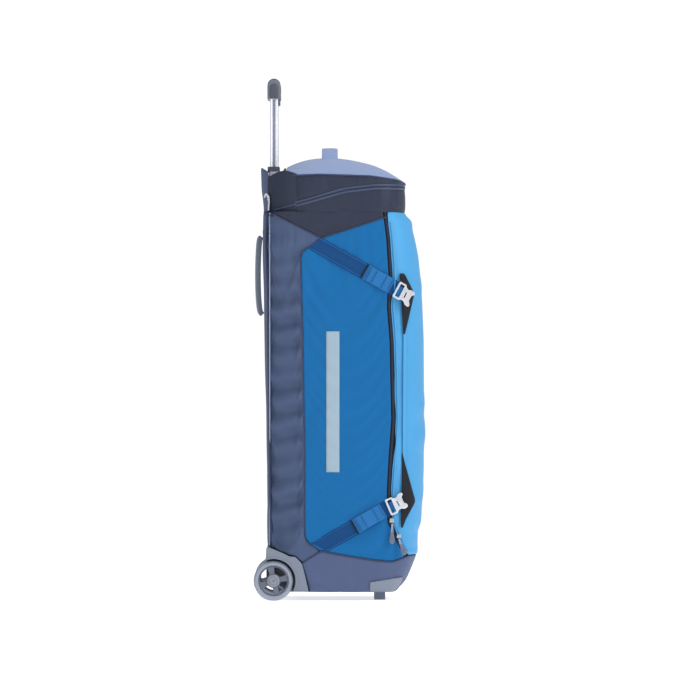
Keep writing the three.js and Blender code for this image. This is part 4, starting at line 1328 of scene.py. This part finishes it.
def carried():
    """CAD nodes shown as they are, with finishes: hidden mechanism and plain mouldings."""
    finishes = {
        STEEL: [
            f"{piece}_{name}" for piece in ("wheel_bush", "axle", "lock_pin", "push_rod") for name, _ in SIDES
        ],
        HOUSING_DARK: ["back_board", "trolley_bezel", "trolley_foot"],
        TUBE_METAL: ["outer_tube_left", "outer_tube_right"],
        RUBBER: ["front_foot_left", "front_foot_right"],
    }
    for finish, names in finishes.items():
        for name in names:
            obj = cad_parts[name]
            obj.data.materials.clear()
            obj.data.materials.append(finish)


# ---- stage ----
def glow(paint, strength):
    shader = paint.node_tree.nodes["Principled BSDF"]
    shader.inputs["Emission Color"].default_value = (1, 1, 1, 1)
    shader.inputs["Emission Strength"].default_value = strength


def stage():
    floor_paint = material("floor_paint", "e9e9eb", 0.85, grain=0, patch=0)
    glow(floor_paint, 0.66)
    corners = [(-9000, -9000, 0), (9000, -9000, 0), (9000, 9000, 0), (-9000, 9000, 0)]
    floor = mesh("floor", corners, [(0, 1, 2, 3)], floor_paint)
    card = material("backdrop_paint", "ffffff", 0.9, grain=0, patch=0)
    glow(card, 0.62)
    corners = [(40000, 12000, -6000), (40000, -12000, -6000), (40000, -12000, 9000), (40000, 12000, 9000)]
    backdrop = mesh("backdrop", corners, [(0, 1, 2, 3)], card)
    world = bpy.data.worlds.new("studio")
    world.use_nodes = True
    world.node_tree.nodes["Background"].inputs["Color"].default_value = (1, 1, 1, 1)
    world.node_tree.nodes["Background"].inputs["Strength"].default_value = 0.42
    SCENE.world = world
    lights = (
        ("key_softbox", (-1.9, -2.6, 1.9), 1.6, 62),
        ("fill_softbox", (-3.0, 1.4, 1.6), 2.0, 30),
        ("top_softbox", (-0.3, -0.3, 3.0), 1.3, 34),
    )
    for name, place, size, watts in lights:
        data = bpy.data.lights.new(name, "AREA")
        data.shape = "SQUARE"
        data.size = size
        data.energy = watts
        lamp = bpy.data.objects.new(name, data)
        lamp.location = place
        SCENE.collection.objects.link(lamp)
        aim = np.array((0, 0, 0.4)) - np.array(place)
        flat = math.hypot(aim[0], aim[1])
        lamp.rotation_euler = (math.atan2(flat, -aim[2]), 0, math.atan2(-aim[0], aim[1]))
    data = bpy.data.cameras.new("camera")
    data.sensor_width = 36
    data.lens = 581.8
    data.clip_start = 1.0
    data.clip_end = 200
    camera = bpy.data.objects.new("camera", data)
    camera.location = (-20, 0, 0.4703)
    camera.rotation_euler = (math.pi / 2, 0, -math.pi / 2)
    SCENE.collection.objects.link(camera)
    SCENE.camera = camera
    SCENE.view_settings.view_transform = "Standard"
    SCENE.view_settings.look = "None"


body_panels()
lid()
gutters()
base()
end_pocket()
trolley_well()
well_sides()
print_panel()
piping()
straps()
hooks()
keepers()
wheels()
housings()
bumpers()
trolley()
grip()
top_handle()
back_handle()
harness()
zip_parts()
carried()
stage()
